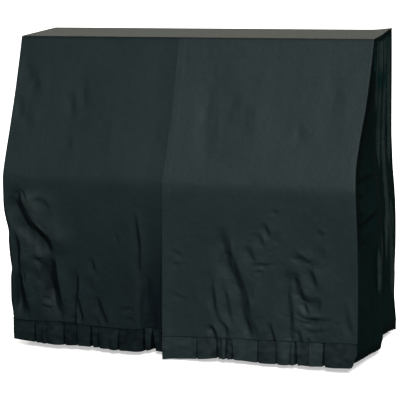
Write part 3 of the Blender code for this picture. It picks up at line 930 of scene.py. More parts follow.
RIGHT_FRONT_FOLDS = (
    # the long soft fold from the middle of the panel to its foot
    Fold(((.212, .570), (.222, .520), (.230, .470), (.250, .401), (.278, .325), (.298, .268),
          (.310, .192), (.330, .130), (.345, .078)),
         .0060, .0100, .0400, .0450, (.22, .12)),
    Fold(((.206, .452), (.228, .448), (.250, .450)), .0008, .0022, .0110, .0150),
    Fold(((.158, .375), (.166, .300), (.173, .219), (.190, .165), (.213, .126), (.222, .078)),
         .0020, .0059, .0155, .0202, (.35, .12)),
    Fold(((.205, .360), (.222, .270), (.240, .170), (.250, .120)), .0018, .0053, .0169, .0202),
    Fold(((.140, .145), (.152, .130), (.168, .108), (.178, .076)),
         .0030, .0077, .0178, .0174, (.35, .20)),
    # the pulls right of it
    Fold(((.386, .585), (.400, .545), (.417, .510)), .0018, .0048, .0183, .0272),
    Fold(((.357, .545), (.370, .512), (.384, .474)), .0018, .0050, .0180, .0200),
    Fold(((.424, .640), (.436, .625), (.447, .610)), .0012, .0038, .0169, .0152),
    Fold(((.312, .495), (.332, .450), (.353, .405)), .0016, .0053, .0225, .0228),
    Fold(((.318, .400), (.345, .407), (.368, .412), (.395, .414), (.425, .411)),
         .0014, .0036, .0105, .0160, (.3, .5)),
    Fold(((.330, .372), (.355, .382), (.385, .388)), .0012, .0030, .0113, .0152),
    Fold(((.325, .350), (.332, .300), (.340, .240)), .0012, .0036, .0254, .0304),
    Fold(((.445, .560), (.448, .520), (.446, .480)), .0010, .0030, .0198, .0228),
    # the knot of pulls in the right half
    Fold(((.512, .475), (.530, .450), (.562, .431), (.606, .423)),
         .0026, .0052, .0240, .0260, (.3, .4)),
    Fold(((.498, .452), (.512, .442), (.528, .440)), .0006, .0022, .0113, .0113),
    Fold(((.510, .400), (.517, .355), (.530, .308), (.548, .276)),
         .0043, .0095, .0270, .0260, (.45, .2)),
    Fold(((.532, .296), (.552, .276), (.580, .272), (.618, .282)),
         .0043, .0084, .0290, .0330, (.25, .4)),
    Fold(((.566, .412), (.580, .378), (.592, .350), (.606, .300)),
         .0030, .0062, .0227, .0261, (.3, .5)),
    Fold(((.480, .410), (.485, .360), (.488, .300), (.491, .241), (.494, .180), (.498, .135),
          (.507, .078)),
         .0030, .0077, .0227, .0319, (.35, .10)),
    Fold(((.545, .262), (.556, .236), (.574, .213)), .0016, .0059, .0140, .0152),
    Fold(((.508, .246), (.533, .214), (.563, .198), (.610, .199), (.680, .207)),
         .0037, .0054, .0162, .0188, (.3, .5)),
    Fold(((.504, .205), (.530, .184), (.569, .177), (.620, .187)),
         .0022, .0038, .0123, .0140, (.3, .5)),
    Fold(((.520, .165), (.560, .150), (.610, .152), (.660, .165)), .0012, .0030, .0136, .0150),
    Fold(((.403, .175), (.411, .145), (.420, .112), (.430, .078)),
         .0026, .0068, .0130, .0159, (.3, .0)),
    Fold(((.518, .155), (.530, .120), (.537, .080)), .0020, .0071, .0169, .0152, (.4, .0)),
    Fold(((.560, .125), (.572, .100), (.580, .080)), .0012, .0041, .0113, .0127, (.4, .0)),
    Fold(((.706, .300), (.720, .240), (.736, .180), (.756, .115)),
         .0018, .0042, .0225, .0253, (.5, .3)),
    Fold(((.600, .556), (.620, .548), (.642, .534)), .0012, .0034, .0155, .0164),
    Fold(((.614, .500), (.628, .470), (.640, .430)), .0014, .0036, .0198, .0228),
    Fold(((-.020, .448), (.010, .436), (.045, .420)), .0008, .0024, .0155, .0164),
    Fold(((-.020, .400), (.005, .392), (.030, .388)), .0008, .0023, .0155, .0164),
    Fold(((-.024, .268), (.015, .256), (.056, .240)), .0008, .0024, .0140, .0164),
    Fold(((.075, .330), (.082, .250), (.090, .180)), .0010, .0023, .0282, .0354),
    # the slope: broad and shallow
    Fold(((.125, 1.180), (.130, 1.050), (.140, .900), (.150, .790)), .0018, .0031, .0520, .0633),
    Fold(((.240, 1.120), (.228, 1.000), (.245, .900)), .0014, .0026, .0488, .0569),
    Fold(((.300, 1.060), (.295, .960), (.310, .870)), .0014, .0026, .0455, .0569),
    Fold(((.480, .960), (.520, .930), (.560, .880)), .0013, .0023, .0406, .0506),
    Fold(((.640, 1.180), (.655, 1.060), (.650, .930)), .0013, .0026, .0488, .0569),
)

RIGHT_SIDE_FOLDS = (
    # gathers beside the front corner of the top
    Fold(((-.146, 1.278), (-.160, 1.200), (-.182, 1.110)), .0050, .0080, .0085, .0160, (.04, .50)),
    Fold(((-.098, 1.278), (-.108, 1.160), (-.128, 1.020), (-.150, .900)),
         .0054, .0086, .0088, .0180, (.04, .50)),
    # long pleats that hang from the rear half of the top edge
    Fold(((-.040, 1.275), (-.050, 1.150), (-.058, .980), (-.050, .800), (-.036, .680)),
         .0068, .0095, .0100, .0240, (.03, .30)),
    Fold(((.020, 1.275), (.010, 1.120), (.006, .960), (.012, .780), (.020, .600), (.014, .420),
          (.022, .260)),
         .0068, .0088, .0090, .0200, (.03, .25)),
    Fold(((.070, 1.275), (.074, 1.120), (.066, .960), (.072, .820)),
         .0041, .0081, .0080, .0160, (.04, .35)),
    Fold(((.122, 1.270), (.130, 1.120), (.136, .960), (.132, .800), (.122, .660)),
         .0054, .0095, .0090, .0150, (.05, .30)),
    Fold(((.040, .620), (.068, .500), (.110, .370), (.146, .230), (.158, .100)),
         .0074, .0101, .0110, .0220, (.20, .20)),
    Fold(((.086, .640), (.120, .500), (.142, .380)), .0054, .0081, .0100, .0180),
    # the hollow beside the seam on the slope
    Fold(((-.232, 1.120), (-.282, 1.000), (-.332, .900), (-.366, .820)),
         .0020, .0108, .0160, .0200, crest=Crest.NEITHER),
    # puckers where the front edge turns over the lid
    Fold(((-.425, .742), (-.330, .746), (-.230, .744), (-.140, .730)),
         .0030, .0060, .0200, .0260, (.15, .40)),
    Fold(((-.430, .688), (-.370, .690), (-.300, .684)), .0030, .0050, .0160, .0200),
    Fold(((-.430, .632), (-.360, .612), (-.300, .590)), .0030, .0050, .0160, .0200),
    Fold(((-.432, .580), (-.350, .574), (-.250, .584), (-.120, .600)),
         .0040, .0070, .0200, .0260, (.15, .40)),
    Fold(((-.430, .500), (-.370, .506), (-.320, .500)), .0020, .0040, .0160, .0200),
    Fold(((-.200, .480), (-.190, .340), (-.196, .200)), .0054, .0081, .0140, .0300),
    Fold(((-.090, .520), (-.076, .360), (-.082, .220)), .0068, .0095, .0140, .0300),
)

LEFT_SIDE_FOLDS = (
    Fold(((.110, 1.270), (.060, 1.080), (.010, .840), (-.020, .540), (-.035, .240), (-.040, .050)),
         .0085, .0102, .0200, .0280, (.06, .10), crest=Crest.LEFT),
    Fold(((.140, 1.270), (.120, 1.060), (.100, .780), (.092, .450), (.095, .180), (.098, .030)),
         .0076, .0093, .0140, .0180, (.04, .06), crest=Crest.LEFT),
    Fold(((-.400, .730), (-.350, .744), (-.290, .748)), .0012, .0030, .0160, .0200),
    Fold(((-.400, .640), (-.355, .655), (-.305, .664)), .0012, .0030, .0160, .0200),
    Fold(((-.280, .600), (-.265, .420), (-.270, .240), (-.262, .070)),
         .0068, .0085, .0240, .0360, (.4, .1)),
    Fold(((-.150, .700), (-.145, .500), (-.152, .290), (-.146, .060)),
         .0053, .0072, .0260, .0400, (.4, .1), crest=Crest.LEFT),
    Fold(((-.130, 1.100), (-.180, .980), (-.240, .880)), .0045, .0048, .0260, .0360),
)

BACK_FOLDS = (
    Fold(((-.600, 1.200), (-.560, .900), (-.520, .500), (-.500, .040)),
         .0040, .0050, .030, .050, (.3, .0)),
    Fold(((-.430, 1.000), (-.452, .700), (-.455, .380), (-.470, .030)),
         .0045, .0055, .030, .045, (.4, .0), crest=Crest.LEFT),
    Fold(((-.190, .900), (-.160, .560), (-.150, .260), (-.146, .030)),
         .0035, .0050, .028, .045, (.4, .0)),
    Fold(((-.050, .700), (-.060, .420), (-.052, .030)),
         .0030, .0045, .026, .040, (.4, .0), crest=Crest.LEFT),
    Fold(((.180, 1.000), (.200, .700), (.216, .360), (.214, .030)),
         .0045, .0055, .030, .045, (.4, .0)),
    Fold(((.360, .800), (.330, .500), (.318, .240), (.316, .030)),
         .0035, .0050, .028, .042, (.4, .0), crest=Crest.LEFT),
    Fold(((.600, 1.200), (.570, .860), (.545, .460), (.530, .030)),
         .0040, .0055, .030, .050, (.3, .0), crest=Crest.LEFT),
    Fold(((-.700, 1.240), (-.560, 1.190), (-.420, 1.180)),
         .0020, .0030, .026, .040, crest=Crest.LEFT),
    Fold(((.440, 1.190), (.580, 1.200), (.720, 1.245)),
         .0020, .0030, .026, .040, crest=Crest.LEFT),
    Fold(((-.300, .640), (-.240, .610), (-.180, .600)), .0015, .0025, .014, .020),
    Fold(((.420, .420), (.480, .400), (.540, .404)), .0015, .0025, .014, .020),
)


@dataclass(frozen=True)
class Bustle:
    """A stretch of cloth that is crumpled all over."""
    x: float
    height: float
    wide: float
    tall: float
    amount: float

    def at(self, across: np.ndarray, height: np.ndarray) -> np.ndarray:
        """How crumpled it makes the cloth at each point."""
        away = ((across - self.x) / self.wide) ** 2 + ((height - self.height) / self.tall) ** 2
        return self.amount * np.exp(-away)


LEFT_CRUMPLES = (
    Bustle(-.66, .58, .08, .09, .8), Bustle(-.62, .34, .09, .12, 1.0),
    Bustle(-.58, .15, .13, .08, 1.0), Bustle(-.34, .22, .09, .11, .6),
    Bustle(-.22, .15, .07, .05, .7), Bustle(-.44, .14, .06, .05, .6),
    Bustle(-.70, .72, .06, .05, .5),
)
RIGHT_CRUMPLES = (
    Bustle(.55, .37, .08, .13, 1.0), Bustle(.56, .17, .10, .07, 1.2),
    Bustle(.37, .47, .08, .12, .8), Bustle(.21, .20, .08, .13, .7),
    Bustle(.18, .10, .05, .04, 1.2), Bustle(.42, .11, .05, .05, 1.0),
    Bustle(.01, .42, .05, .07, .6), Bustle(.02, .25, .05, .04, .6),
    Bustle(.66, .16, .09, .07, .7),
)


# ---------------------------------------------------------------------------------- the panels

@dataclass
class ClothPiece:
    """One cut piece of the cover, with what the frame needs to know of it."""
    name: str
    node: str
    slot: Slot
    flat: tuple[float, float]            # width and length as cut
    held: str = "hung"
    area: float | None = None            # flat area where the cut is no rectangle
    rests_on: tuple[str, ...] = ("cover_top",)
    piece: bpy.types.Object | None = None

    def dress(self, material: bpy.types.Material) -> None:
        """Give the piece its cloth and place it in the frame.

        Args:
            material: The finish of its cloth.
        """
        self.piece.data.materials.clear()
        self.piece.data.materials.append(material)
        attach(self.piece, "root")
        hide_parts(self.node)
        faces = len(self.piece.data.polygons)
        log.info("%s: %d faces, cut %.2f by %.2f m", self.name, faces, *self.flat)


@dataclass
class HangingPanel(ClothPiece):
    """A panel that hangs from the top in folds."""
    folds: tuple[Fold, ...] = ()
    unlike: float = 0.0                  # picks the unevenness of this panel
    STRAY = SWAY = Wander(1.0, 1.0, 0.0)           # how far a fold strays from its line

    def folded(self, across: np.ndarray, height: np.ndarray,
               vigour: np.ndarray | float = 1.0) -> np.ndarray:
        """How far its folds carry each point outward.

        Args:
            across: Place of each point across the panel.
            height: Height of each point above the hem line.
            vigour: How strong the folds are there.

        Returns:
            Outward distance at each point.
        """
        stray = self.STRAY.at(across, height, self.unlike)
        sway = self.SWAY.at(across, height, self.unlike)
        out = np.zeros(across.shape)
        for fold in self.folds:
            out += fold.relief(across + stray, height + sway) * vigour
        return out


@dataclass
class FrontPanel(HangingPanel):
    """A front panel, from the top over the lid's edge to the seam of its band."""
    crumples: tuple[Bustle, ...] = ()
    outer: Edge = Edge.LEFT              # the edge that is sewn to a side panel
    corner: Reach = 0.005                # rounding along that edge
    columns: tuple[tuple[float, float, float], ...] = ()
    rows: tuple[tuple[float, float, float], ...] = ()
    left_flank_shade: float = 1.2               # painted shade on a flank that faces left, away from the light
    lower_shade: float = 0.0                  # painted shade: how much darker its lower part is
    foot_line: np.ndarray = field(default_factory=lambda: np.zeros((0, 3)))

    # folds and unevenness
    STRAY = Wander(0.045, 0.080, 0.0050, 20.0)     # how far a fold strays across from its line
    SWAY = Wander(0.060, 0.060, 0.0070, 24.0)      # and up or down
    VIGOUR = Wander(0.040, 0.070, 0.6, 28.0)       # how unlike its strength is along it
    UNEVEN = (Wander(0.16, 0.42, 0.0016, 0.0, 0.0016), Wander(0.055, 0.16, 0.0007, 3.7, 0.0012),
              Wander(0.022, 0.050, 0.0002, 8.1, 0.0004))
    CREASES = (Creases(0.045, 0.0013, 13.0), Creases(0.024, 0.0008, 17.0))
    TAUT = 0.70              # height above which the cloth is taut
    SLACK = 0.5              # height in which it grows slack below that
    CRUMPLED = (0.10, 0.25)  # how creased it is all over, and how much more where it is slack
    CALM_SIDE = 0.026        # width in which folds grow beside the sewn edge
    CALM_TOP = 0.03          # and under the top
    # the lap at the middle
    FACING = 0.028           # width of the facing inside the free edge
    FACING_END = 0.008       # width in which it ends
    DOUBLED = 0.0006         # how far it stands out
    LIFT = 0.0050            # how far the free edge stands off at its foot
    LIFTED = 0.035           # width of the stretch that lifts with it
    LIFT_TOP = 0.60          # height below which it does
    LIFT_RISE = 0.5          # height in which it does
    RECESS = 0.008           # how far the left panel falls back beside it
    RECESS_START = -0.150    # where that begins
    RECESS_WIDTH = 0.05      # width in which it does
    RECESS_TOP = 0.620       # height below which it does
    # wear and painted shade
    CREST, TROUGH = 0.012, 0.030       # height of a fold whose crest is worn most, and depth of one whose trough gets the most painted shade
    FLANK, STEEP = 0.12, 0.50          # slope from which a left flank gets painted shade, and its range
    RECESS_SHADE = 1.6                 # painted shade in the recess beside the lap
    UNWORN_TOP, UNWORN_RISE = 0.74, 0.60    # height below which the lower part is darkened with painted shade, and the height in which that grows
    SEAM_SHADE = 2.4                   # painted shadow close under the seam of the top
    SEAM_SHADE_WIDTH = 0.0055          # width in which it is
    SEAM_UNEVEN = Wander(0.09, 0.30, 0.6, 33.0)     # and how uneven along it
    # the surface under the folds
    LID = 0.722              # height of the edge where the slope turns down
    LID_REACH = 0.040        # how far from it the surface stays crisp
    SOFT = (0.022, 0.010)    # smoothing of the CAD face across and up
    CRISP = (0.022, 0.003)   # the same at the lid

    def unevenness(self, across: np.ndarray, height: np.ndarray) -> np.ndarray:
        """Read what the hanging cloth does apart from its folds.

        Args:
            across: Place of each point across the panel.
            height: Height of each point above the hem line.

        Returns:
            Outward distance at each point.
        """
        hang = ease((self.TAUT - height) / self.SLACK)
        out = sum(size.at(across, height, self.unlike, hang) for size in self.UNEVEN)
        crumpled = self.CRUMPLED[0] + self.CRUMPLED[1] * hang
        for patch in self.crumples:
            crumpled = crumpled + patch.at(across, height)
        for creases in self.CREASES:
            out += creases.at(across, height, self.unlike) * crumpled
        return out

    def relief(self, points: np.ndarray) -> np.ndarray:
        """Add up folds and unevenness.

        Args:
            points: The smooth panel.

        Returns:
            How far they carry each point outward.
        """
        across, height = points[..., 0], points[..., 2] - HEM_LINE
        vigour = 1 + self.VIGOUR.at(across, height, self.unlike)
        out = self.folded(across, height, vigour) + self.unevenness(across, height)
        to_corner = (across - points[:, :1, 0]) if self.outer is Edge.LEFT \
            else (points[:, -1:, 0] - across)
        to_top = points[-1, 0, 2] - points[..., 2]
        return out * ease((to_corner + 0.004) / self.CALM_SIDE) * ease(to_top / self.CALM_TOP)

    def lap_relief(self, points: np.ndarray) -> np.ndarray:
        """Add the lap at the middle: a facing on the right, a stretch that falls back on the left.

        Args:
            points: The smooth panel.

        Returns:
            How far it carries each point outward.
        """
        across, height = points[..., 0], points[..., 2] - HEM_LINE
        if self.outer is Edge.RIGHT:
            inside = across - points[:, :1, 0]
            end = self.FACING + self.FACING_END
            lifted = ease((self.LIFT_TOP - height) / self.LIFT_RISE)
            return (self.DOUBLED * ease((end - inside) / self.FACING_END)
                    + self.LIFT * lifted * np.exp(-(inside / self.LIFTED) ** 2))
        down = ease((self.RECESS_TOP - height) / self.RECESS_TOP)
        return -self.RECESS * down * ease((across - self.RECESS_START) / self.RECESS_WIDTH)

    def wear_and_painted_light(self, points: np.ndarray, folded: np.ndarray, lapped: np.ndarray) -> np.ndarray:
        """Wearing on the crests, and painted shade in troughs, on left flanks, in the recess, low
        down and under the top seam.

        Args:
            points: The folded panel.
            folded: How far its folds carry each point outward.
            lapped: How far the lap does.

        Returns:
            The values of the crest attribute.
        """
        flanks = np.gradient(folded, axis=1) / np.gradient(points[..., 0], axis=1)
        low = ease((self.UNWORN_TOP - (points[..., 2] - HEM_LINE)) / self.UNWORN_RISE)
        # Worn crests; painted shade in troughs, in the recess beside the lap, on flanks that face
        # left and on the lower part.
        tone = np.where(folded > 0, folded / self.CREST, folded / self.TROUGH)
        tone += self.RECESS_SHADE * np.minimum(lapped, 0.0) / self.RECESS
        tone -= self.left_flank_shade * ease((flanks - self.FLANK) / self.STEEP) + self.lower_shade * low
        # Painted shadow in a thin uneven line under the seam of the top.
        under_top = points[-1, 0, 2] - points[..., 2]
        uneven = 1 + self.SEAM_UNEVEN.at(points[..., 0], under_top, self.unlike)
        tone -= self.SEAM_SHADE * uneven * np.exp(-(under_top / self.SEAM_SHADE_WIDTH) ** 2)
        return np.clip(tone, DARKEST_PAINTED_SHADE, BRIGHTEST_WEAR_AND_LIGHT)

    def build(self) -> None:
        """Lay the panel on its CAD solid and fold it."""
        left = self.outer is Edge.LEFT
        short = (self.corner, HEM_ROLL) if left else (HEM_ROLL, self.corner)
        face = UprightFace(CadFace(self.node, 1, -1), Inset(*short, foot=SEAM_ROLL))
        grid = spaced(*self.columns), spaced(*self.rows)
        points = face.surface(*grid, *self.SOFT)
        from_lid = points[..., 2] - HEM_LINE - self.LID
        at_lid = np.exp(-(from_lid / self.LID_REACH) ** 2)[..., None]
        points += (face.surface(*grid, *self.CRISP) - points) * at_lid
        folded, lapped = self.relief(points), self.lap_relief(points)
        points = points + grid_normals(points) * (folded + lapped)[..., None]
        self.foot_line = points[0].copy()
        corner = reading(self.corner, points[:, self.outer.value[1], 2])
        laid = Laid(points, self.wear_and_painted_light(points, folded, lapped))
        # The turn into the side seam fades to the deepest painted shade.
        laid = laid.rolled(self.outer, corner, run=SEAM_LAP, fading=DARKEST_PAINTED_SHADE)
        laid = laid.rolled(Edge.RIGHT if left else Edge.LEFT, HEM_ROLL, run=TURNED_IN)
        self.piece = cloth_sheet(self.name, laid.rolled(Edge.FOOT, SEAM_ROLL))


def raised_corner(points: np.ndarray) -> np.ndarray:
    """Lift the cloth where the right rear corner of the top is pulled up.

    Args:
        points: Points in the row frame.

    Returns:
        The same points, a little higher near that corner.
    """
    middle, reach, rise, below = (0.775, 0.120), (0.050, 0.110), 0.009, 0.120
    away = sum(((points[..., k] - middle[k]) / reach[k]) ** 2 for k in (0, 1))
    lifted = points.copy()
    lifted[..., 2] += rise * np.exp(-away) * ease((points[..., 2] + below) / below)
    return lifted


@dataclass
class SidePanel(HangingPanel):
    """A side panel, from the seam along the front to the seam of the back."""
    outward: int = 1
    corner: Reach = 0.005                # rounding of the front panel's edge beside it

    STRAY = Wander(0.050, 0.200, 0.0050, 20.0)     # how far a fold strays across from its line
    SWAY = Wander(0.080, 0.080, 0.0060, 24.0)      # and up or down
    UNEVEN = (Wander(0.10, 0.30, 0.0030), Wander(0.030, 0.090, 0.0014, 5.0))
    CREASES = Creases(0.055, 0.0024, 9.0)
    CALM = (0.025, 0.014, 0.012)     # width in which folds grow at the front, the rear and the top
    CURL = 0.009                     # how far the foot of the panel turns in
    CURLED = 0.045                   # and the height in which it does
    CREST = 0.015                    # height of a fold that is worn most; its troughs get painted shade
    FORWARD_FLANK_LIGHT = (2.6, 0.15, 0.7)       # painted light on a flank that looks forward, towards the light: its strength, first slope and range
    REAR_FLANK_SHADE = (1.2, 0.8)            # painted shade on a flank that looks rearward, away from the light, and to which slope
    UNWORN = 0.3                     # painted shade all over the side
    # how unlike the wearing and painted light and shade are from place to place
    UNLIKE_WEAR_AND_LIGHT = Wander(0.040, 0.120, 0.9, 31.0)
    SHADE = 2.0                      # painted shadow in a strip beside the front seam
    SHADED = 0.036                   # width of that strip
    SHADED_TO = 0.82                 # how far below the top it ends
    SHADE_FADE = 0.12                # height in which it dies out
    RAGGED = Wander(0.016, 0.040, 1.1, 5.0)        # how uneven it is along the seam
    UPPER_SHADE = 0.6                # painted shade on the upper part
    UPPER_TO = 0.60                  # how far below the top that ends
    UPPER_FADE = 0.30                # height in which it dies out

    def relief(self, points: np.ndarray) -> np.ndarray:
        """Add up folds and unevenness.

        Args:
            points: The smooth panel.

        Returns:
            How far they carry each point outward.
        """
        across, height = points[..., 1], points[..., 2] - HEM_LINE
        out = self.folded(across, height)
        for made in (*self.UNEVEN, self.CREASES):
            out += made.at(across, height, self.unlike)
        start, end = points[:, :1, 1], points[:, -1:, 1]
        front, rear, top = self.CALM
        calm = ease((np.abs(across - start) + 0.003) / front) * ease(np.abs(end - across) / rear)
        out = out * calm * ease((points[-1, 0, 2] - points[..., 2]) / top)
        above_foot = points[..., 2] - points[:1, :, 2]
        return out - self.CURL * ease(1 - above_foot / self.CURLED)

    def wear_and_painted_light(self, points: np.ndarray, relief: np.ndarray) -> np.ndarray:
        """The crest attribute at each point: wearing, with painted light and shade.

        Args:
            points: The folded panel.
            relief: How far its folds carry each point outward.

        Returns:
            The values of the crest attribute: painted light on flanks that look forward, painted
                shade on others, beside the front seam and on the upper part.
        """
        depth, level = points[..., 1], points[..., 2]
        forward = np.gradient(relief, axis=1) / np.gradient(depth, axis=1)
        less, steepest = self.REAR_FLANK_SHADE
        # Worn crests; painted shade in troughs, on rearward flanks and all over the side.
        tone = relief / self.CREST - less * np.clip(-forward, 0, steepest) - self.UNWORN
        more, first, steep = self.FORWARD_FLANK_LIGHT
        # Painted light on flanks that look forward.
        tone += more * np.clip(forward - first, 0, steep)
        tone *= 1 + self.UNLIKE_WEAR_AND_LIGHT.at(depth, level, self.unlike)
        # Painted shadow in a ragged strip beside the front seam, and painted shade on the upper
        # part.
        seam = depth[:, :1] if self.outward > 0 else depth[:, -1:]
        beside = np.exp(-((depth - seam - 0.012) / self.SHADED) ** 2)
        beside *= 1 + self.RAGGED.at(level, depth, self.unlike)
        tone -= self.SHADE * beside * ease((level + self.SHADED_TO) / self.SHADE_FADE)
        tone -= self.UPPER_SHADE * ease((level + self.UPPER_TO) / self.UPPER_FADE)
        return np.clip(tone, DARKEST_PAINTED_SHADE, BRIGHTEST_WEAR_AND_LIGHT)

    def build(self) -> None:
        """Lay the panel on its CAD solid, with its front edge behind the front panel's."""
        covered = reach_plus(self.corner, SEAM_LAP - 0.0020)
        face = UprightFace(CadFace(self.node, 0, self.outward),
                           Inset(left=covered, right=SEAM_ROLL, foot=HEM_ROLL))
        points = face.surface(spaced((0, 0.6, 0.0050)), spaced((0, 1.28, 0.0060)), 0.010, 0.020)
        relief = self.relief(points)
        points = raised_corner(points)
        if self.outward < 0:
            points, relief = points[:, ::-1], relief[:, ::-1]
        points = points + grid_normals(points) * relief[..., None]
        front, rear = (Edge.LEFT, Edge.RIGHT) if self.outward > 0 else (Edge.RIGHT, Edge.LEFT)
        laid = Laid(points, self.wear_and_painted_light(points, relief)).tucked(front, SEAM_STEP, SEAM_LAP)
        laid = laid.rolled(rear, SEAM_ROLL, run=TURNED_IN).rolled(Edge.FOOT, HEM_ROLL)
        self.piece = cloth_sheet(self.name, laid)


@dataclass
class BackPanel(HangingPanel):
    """The plain back panel."""
    CORNER = 0.004                       # rounding from the back to each side
    STRAY = Wander(0.090, 0.250, 0.010, 60.0)      # how far a fold strays across from its line
    UNEVEN = (Wander(0.20, 0.50, 0.004, 21.0), Wander(0.060, 0.160, 0.0016, 25.0))
    CREASES = Creases(0.080, 0.0018, 27.0)
    CALM = 0.03                          # width in which folds grow beside a seam
    CREST = 0.012                        # height of a fold that is worn most, and depth of a trough in the most painted shade

    def build(self) -> None:
        """Lay the panel on its CAD solid."""
        face = UprightFace(CadFace(self.node, 1, 1), Inset(self.CORNER, self.CORNER, HEM_ROLL))
        points = face.surface(spaced((0, 1.55, 0.0080)), spaced((0, 1.3, 0.0080)), 0.03, 0.04)
        points = raised_corner(points)[:, ::-1]
        across, height = points[..., 0], points[..., 2] - HEM_LINE
        out = self.folded(across, height)
        for made in (*self.UNEVEN, self.CREASES):
            out += made.at(across, height)
        to_side = np.minimum(np.abs(across - points[:, :1, 0]), np.abs(points[:, -1:, 0] - across))
        to_top = points[-1, 0, 2] - points[..., 2]
        out = out * ease(to_side / self.CALM) * ease(to_top / self.CALM)
        points = points + grid_normals(points) * out[..., None]
        # Worn crests; painted shade in the troughs.
        laid = Laid(points, np.clip(out / self.CREST, -BRIGHTEST_WEAR_AND_LIGHT, BRIGHTEST_WEAR_AND_LIGHT))
        laid = laid.rolled(Edge.LEFT, self.CORNER).rolled(Edge.RIGHT, self.CORNER)
        self.piece = cloth_sheet(self.name, laid.rolled(Edge.FOOT, HEM_ROLL))


@dataclass
class TopPanel(ClothPiece):
    """The flat top with its seam all round."""
    held: str = "laid"
    rests_on: tuple[str, ...] = ()

    ROLL = 0.0022                        # radius in which it turns down into its seam
    SEAM = (0.0012, 0.007, 0.004)        # height, place and width of the ridge along the seam
    UNEVEN = (Wander(0.15, 0.10, 0.0009, 31.0), Wander(0.03, 0.03, 0.0004, 33.0))

    def build(self) -> None:
        """Lay the panel on its CAD solid."""
        low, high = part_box(self.node)
        across = low.x + self.ROLL + (high.x - low.x - 2 * self.ROLL) * spaced((0, 1.54, 0.008))
        depth = low.y + self.ROLL + (high.y - low.y - 2 * self.ROLL) * spaced((0, 0.345, 0.008))
        x, y = np.meshgrid(across, depth)
        to_edge = np.minimum(np.minimum(x - low.x, high.x - x), np.minimum(y - low.y, high.y - y))
        rise, place, width = self.SEAM
        seam = rise * np.exp(-((to_edge - place) / width) ** 2)
        z = high.z + seam + sum(size.at(x, y) for size in self.UNEVEN) * ease(to_edge / 0.02)
        laid = Laid(raised_corner(np.stack([x, y, z], axis=2)), np.zeros(x.shape))
        for edge in (Edge.LEFT, Edge.RIGHT, Edge.FOOT, Edge.TOP):
            laid = laid.rolled(edge, self.ROLL)
        self.piece = cloth_sheet(self.name, laid)


# ----------------------------------------------------------------------------------- the bands

@dataclass(frozen=True)
class Pleat:
    """A knife pleat: its folded edge and the mouth beside it."""
    x: float
    mouth_seam: float        # width of the mouth at the seam
    mouth_hem: float         # width of the mouth at the hem
    tuck: float              # how far the cloth goes back under the edge
    sink: float              # how far the mouth falls back at the hem
    lean: float              # how far the edge wanders along the band on its way down


LEFT_PLEATS = (
    Pleat(-.650, .0060, .0120, .012, .012, .001), Pleat(-.618, .0020, .0050, .008, .006, -.001),
    Pleat(-.594, .0020, .0045, .008, .005, .001), Pleat(-.515, .0050, .0110, .012, .013, .001),
    Pleat(-.456, .0045, .0090, .012, .012, .002), Pleat(-.388, .0070, .0190, .012, .020, .000),
    Pleat(-.357, .0025, .0080, .010, .010, .001), Pleat(-.312, .0008, .0025, .008, .003, .002),
    Pleat(-.260, .0035, .0110, .012, .013, -.005), Pleat(-.157, .0050, .0120, .012, .014, .001),
    Pleat(-.126, .0030, .0270, .012, .028, .001), Pleat(-.020, .0015, .0030, .012, .005, .000),
)
RIGHT_PLEATS = (
    Pleat(.084, .0050, .0075, .012, .012, .001), Pleat(.172, .0070, .0150, .012, .018, .002),
    Pleat(.190, .0030, .0090, .006, .010, -.002), Pleat(.213, .0055, .0110, .012, .014, .000),
    Pleat(.237, .0020, .0090, .008, .010, .004), Pleat(.348, .0050, .0085, .012, .012, .000),
    Pleat(.425, .0045, .0080, .012, .012, .002), Pleat(.487, .0015, .0050, .008, .007, -.004),
    Pleat(.507, .0075, .0160, .012, .018, .002), Pleat(.561, .0030, .0060, .009, .008, .000),
    Pleat(.625, .0080, .0140, .012, .019, -.001),
)


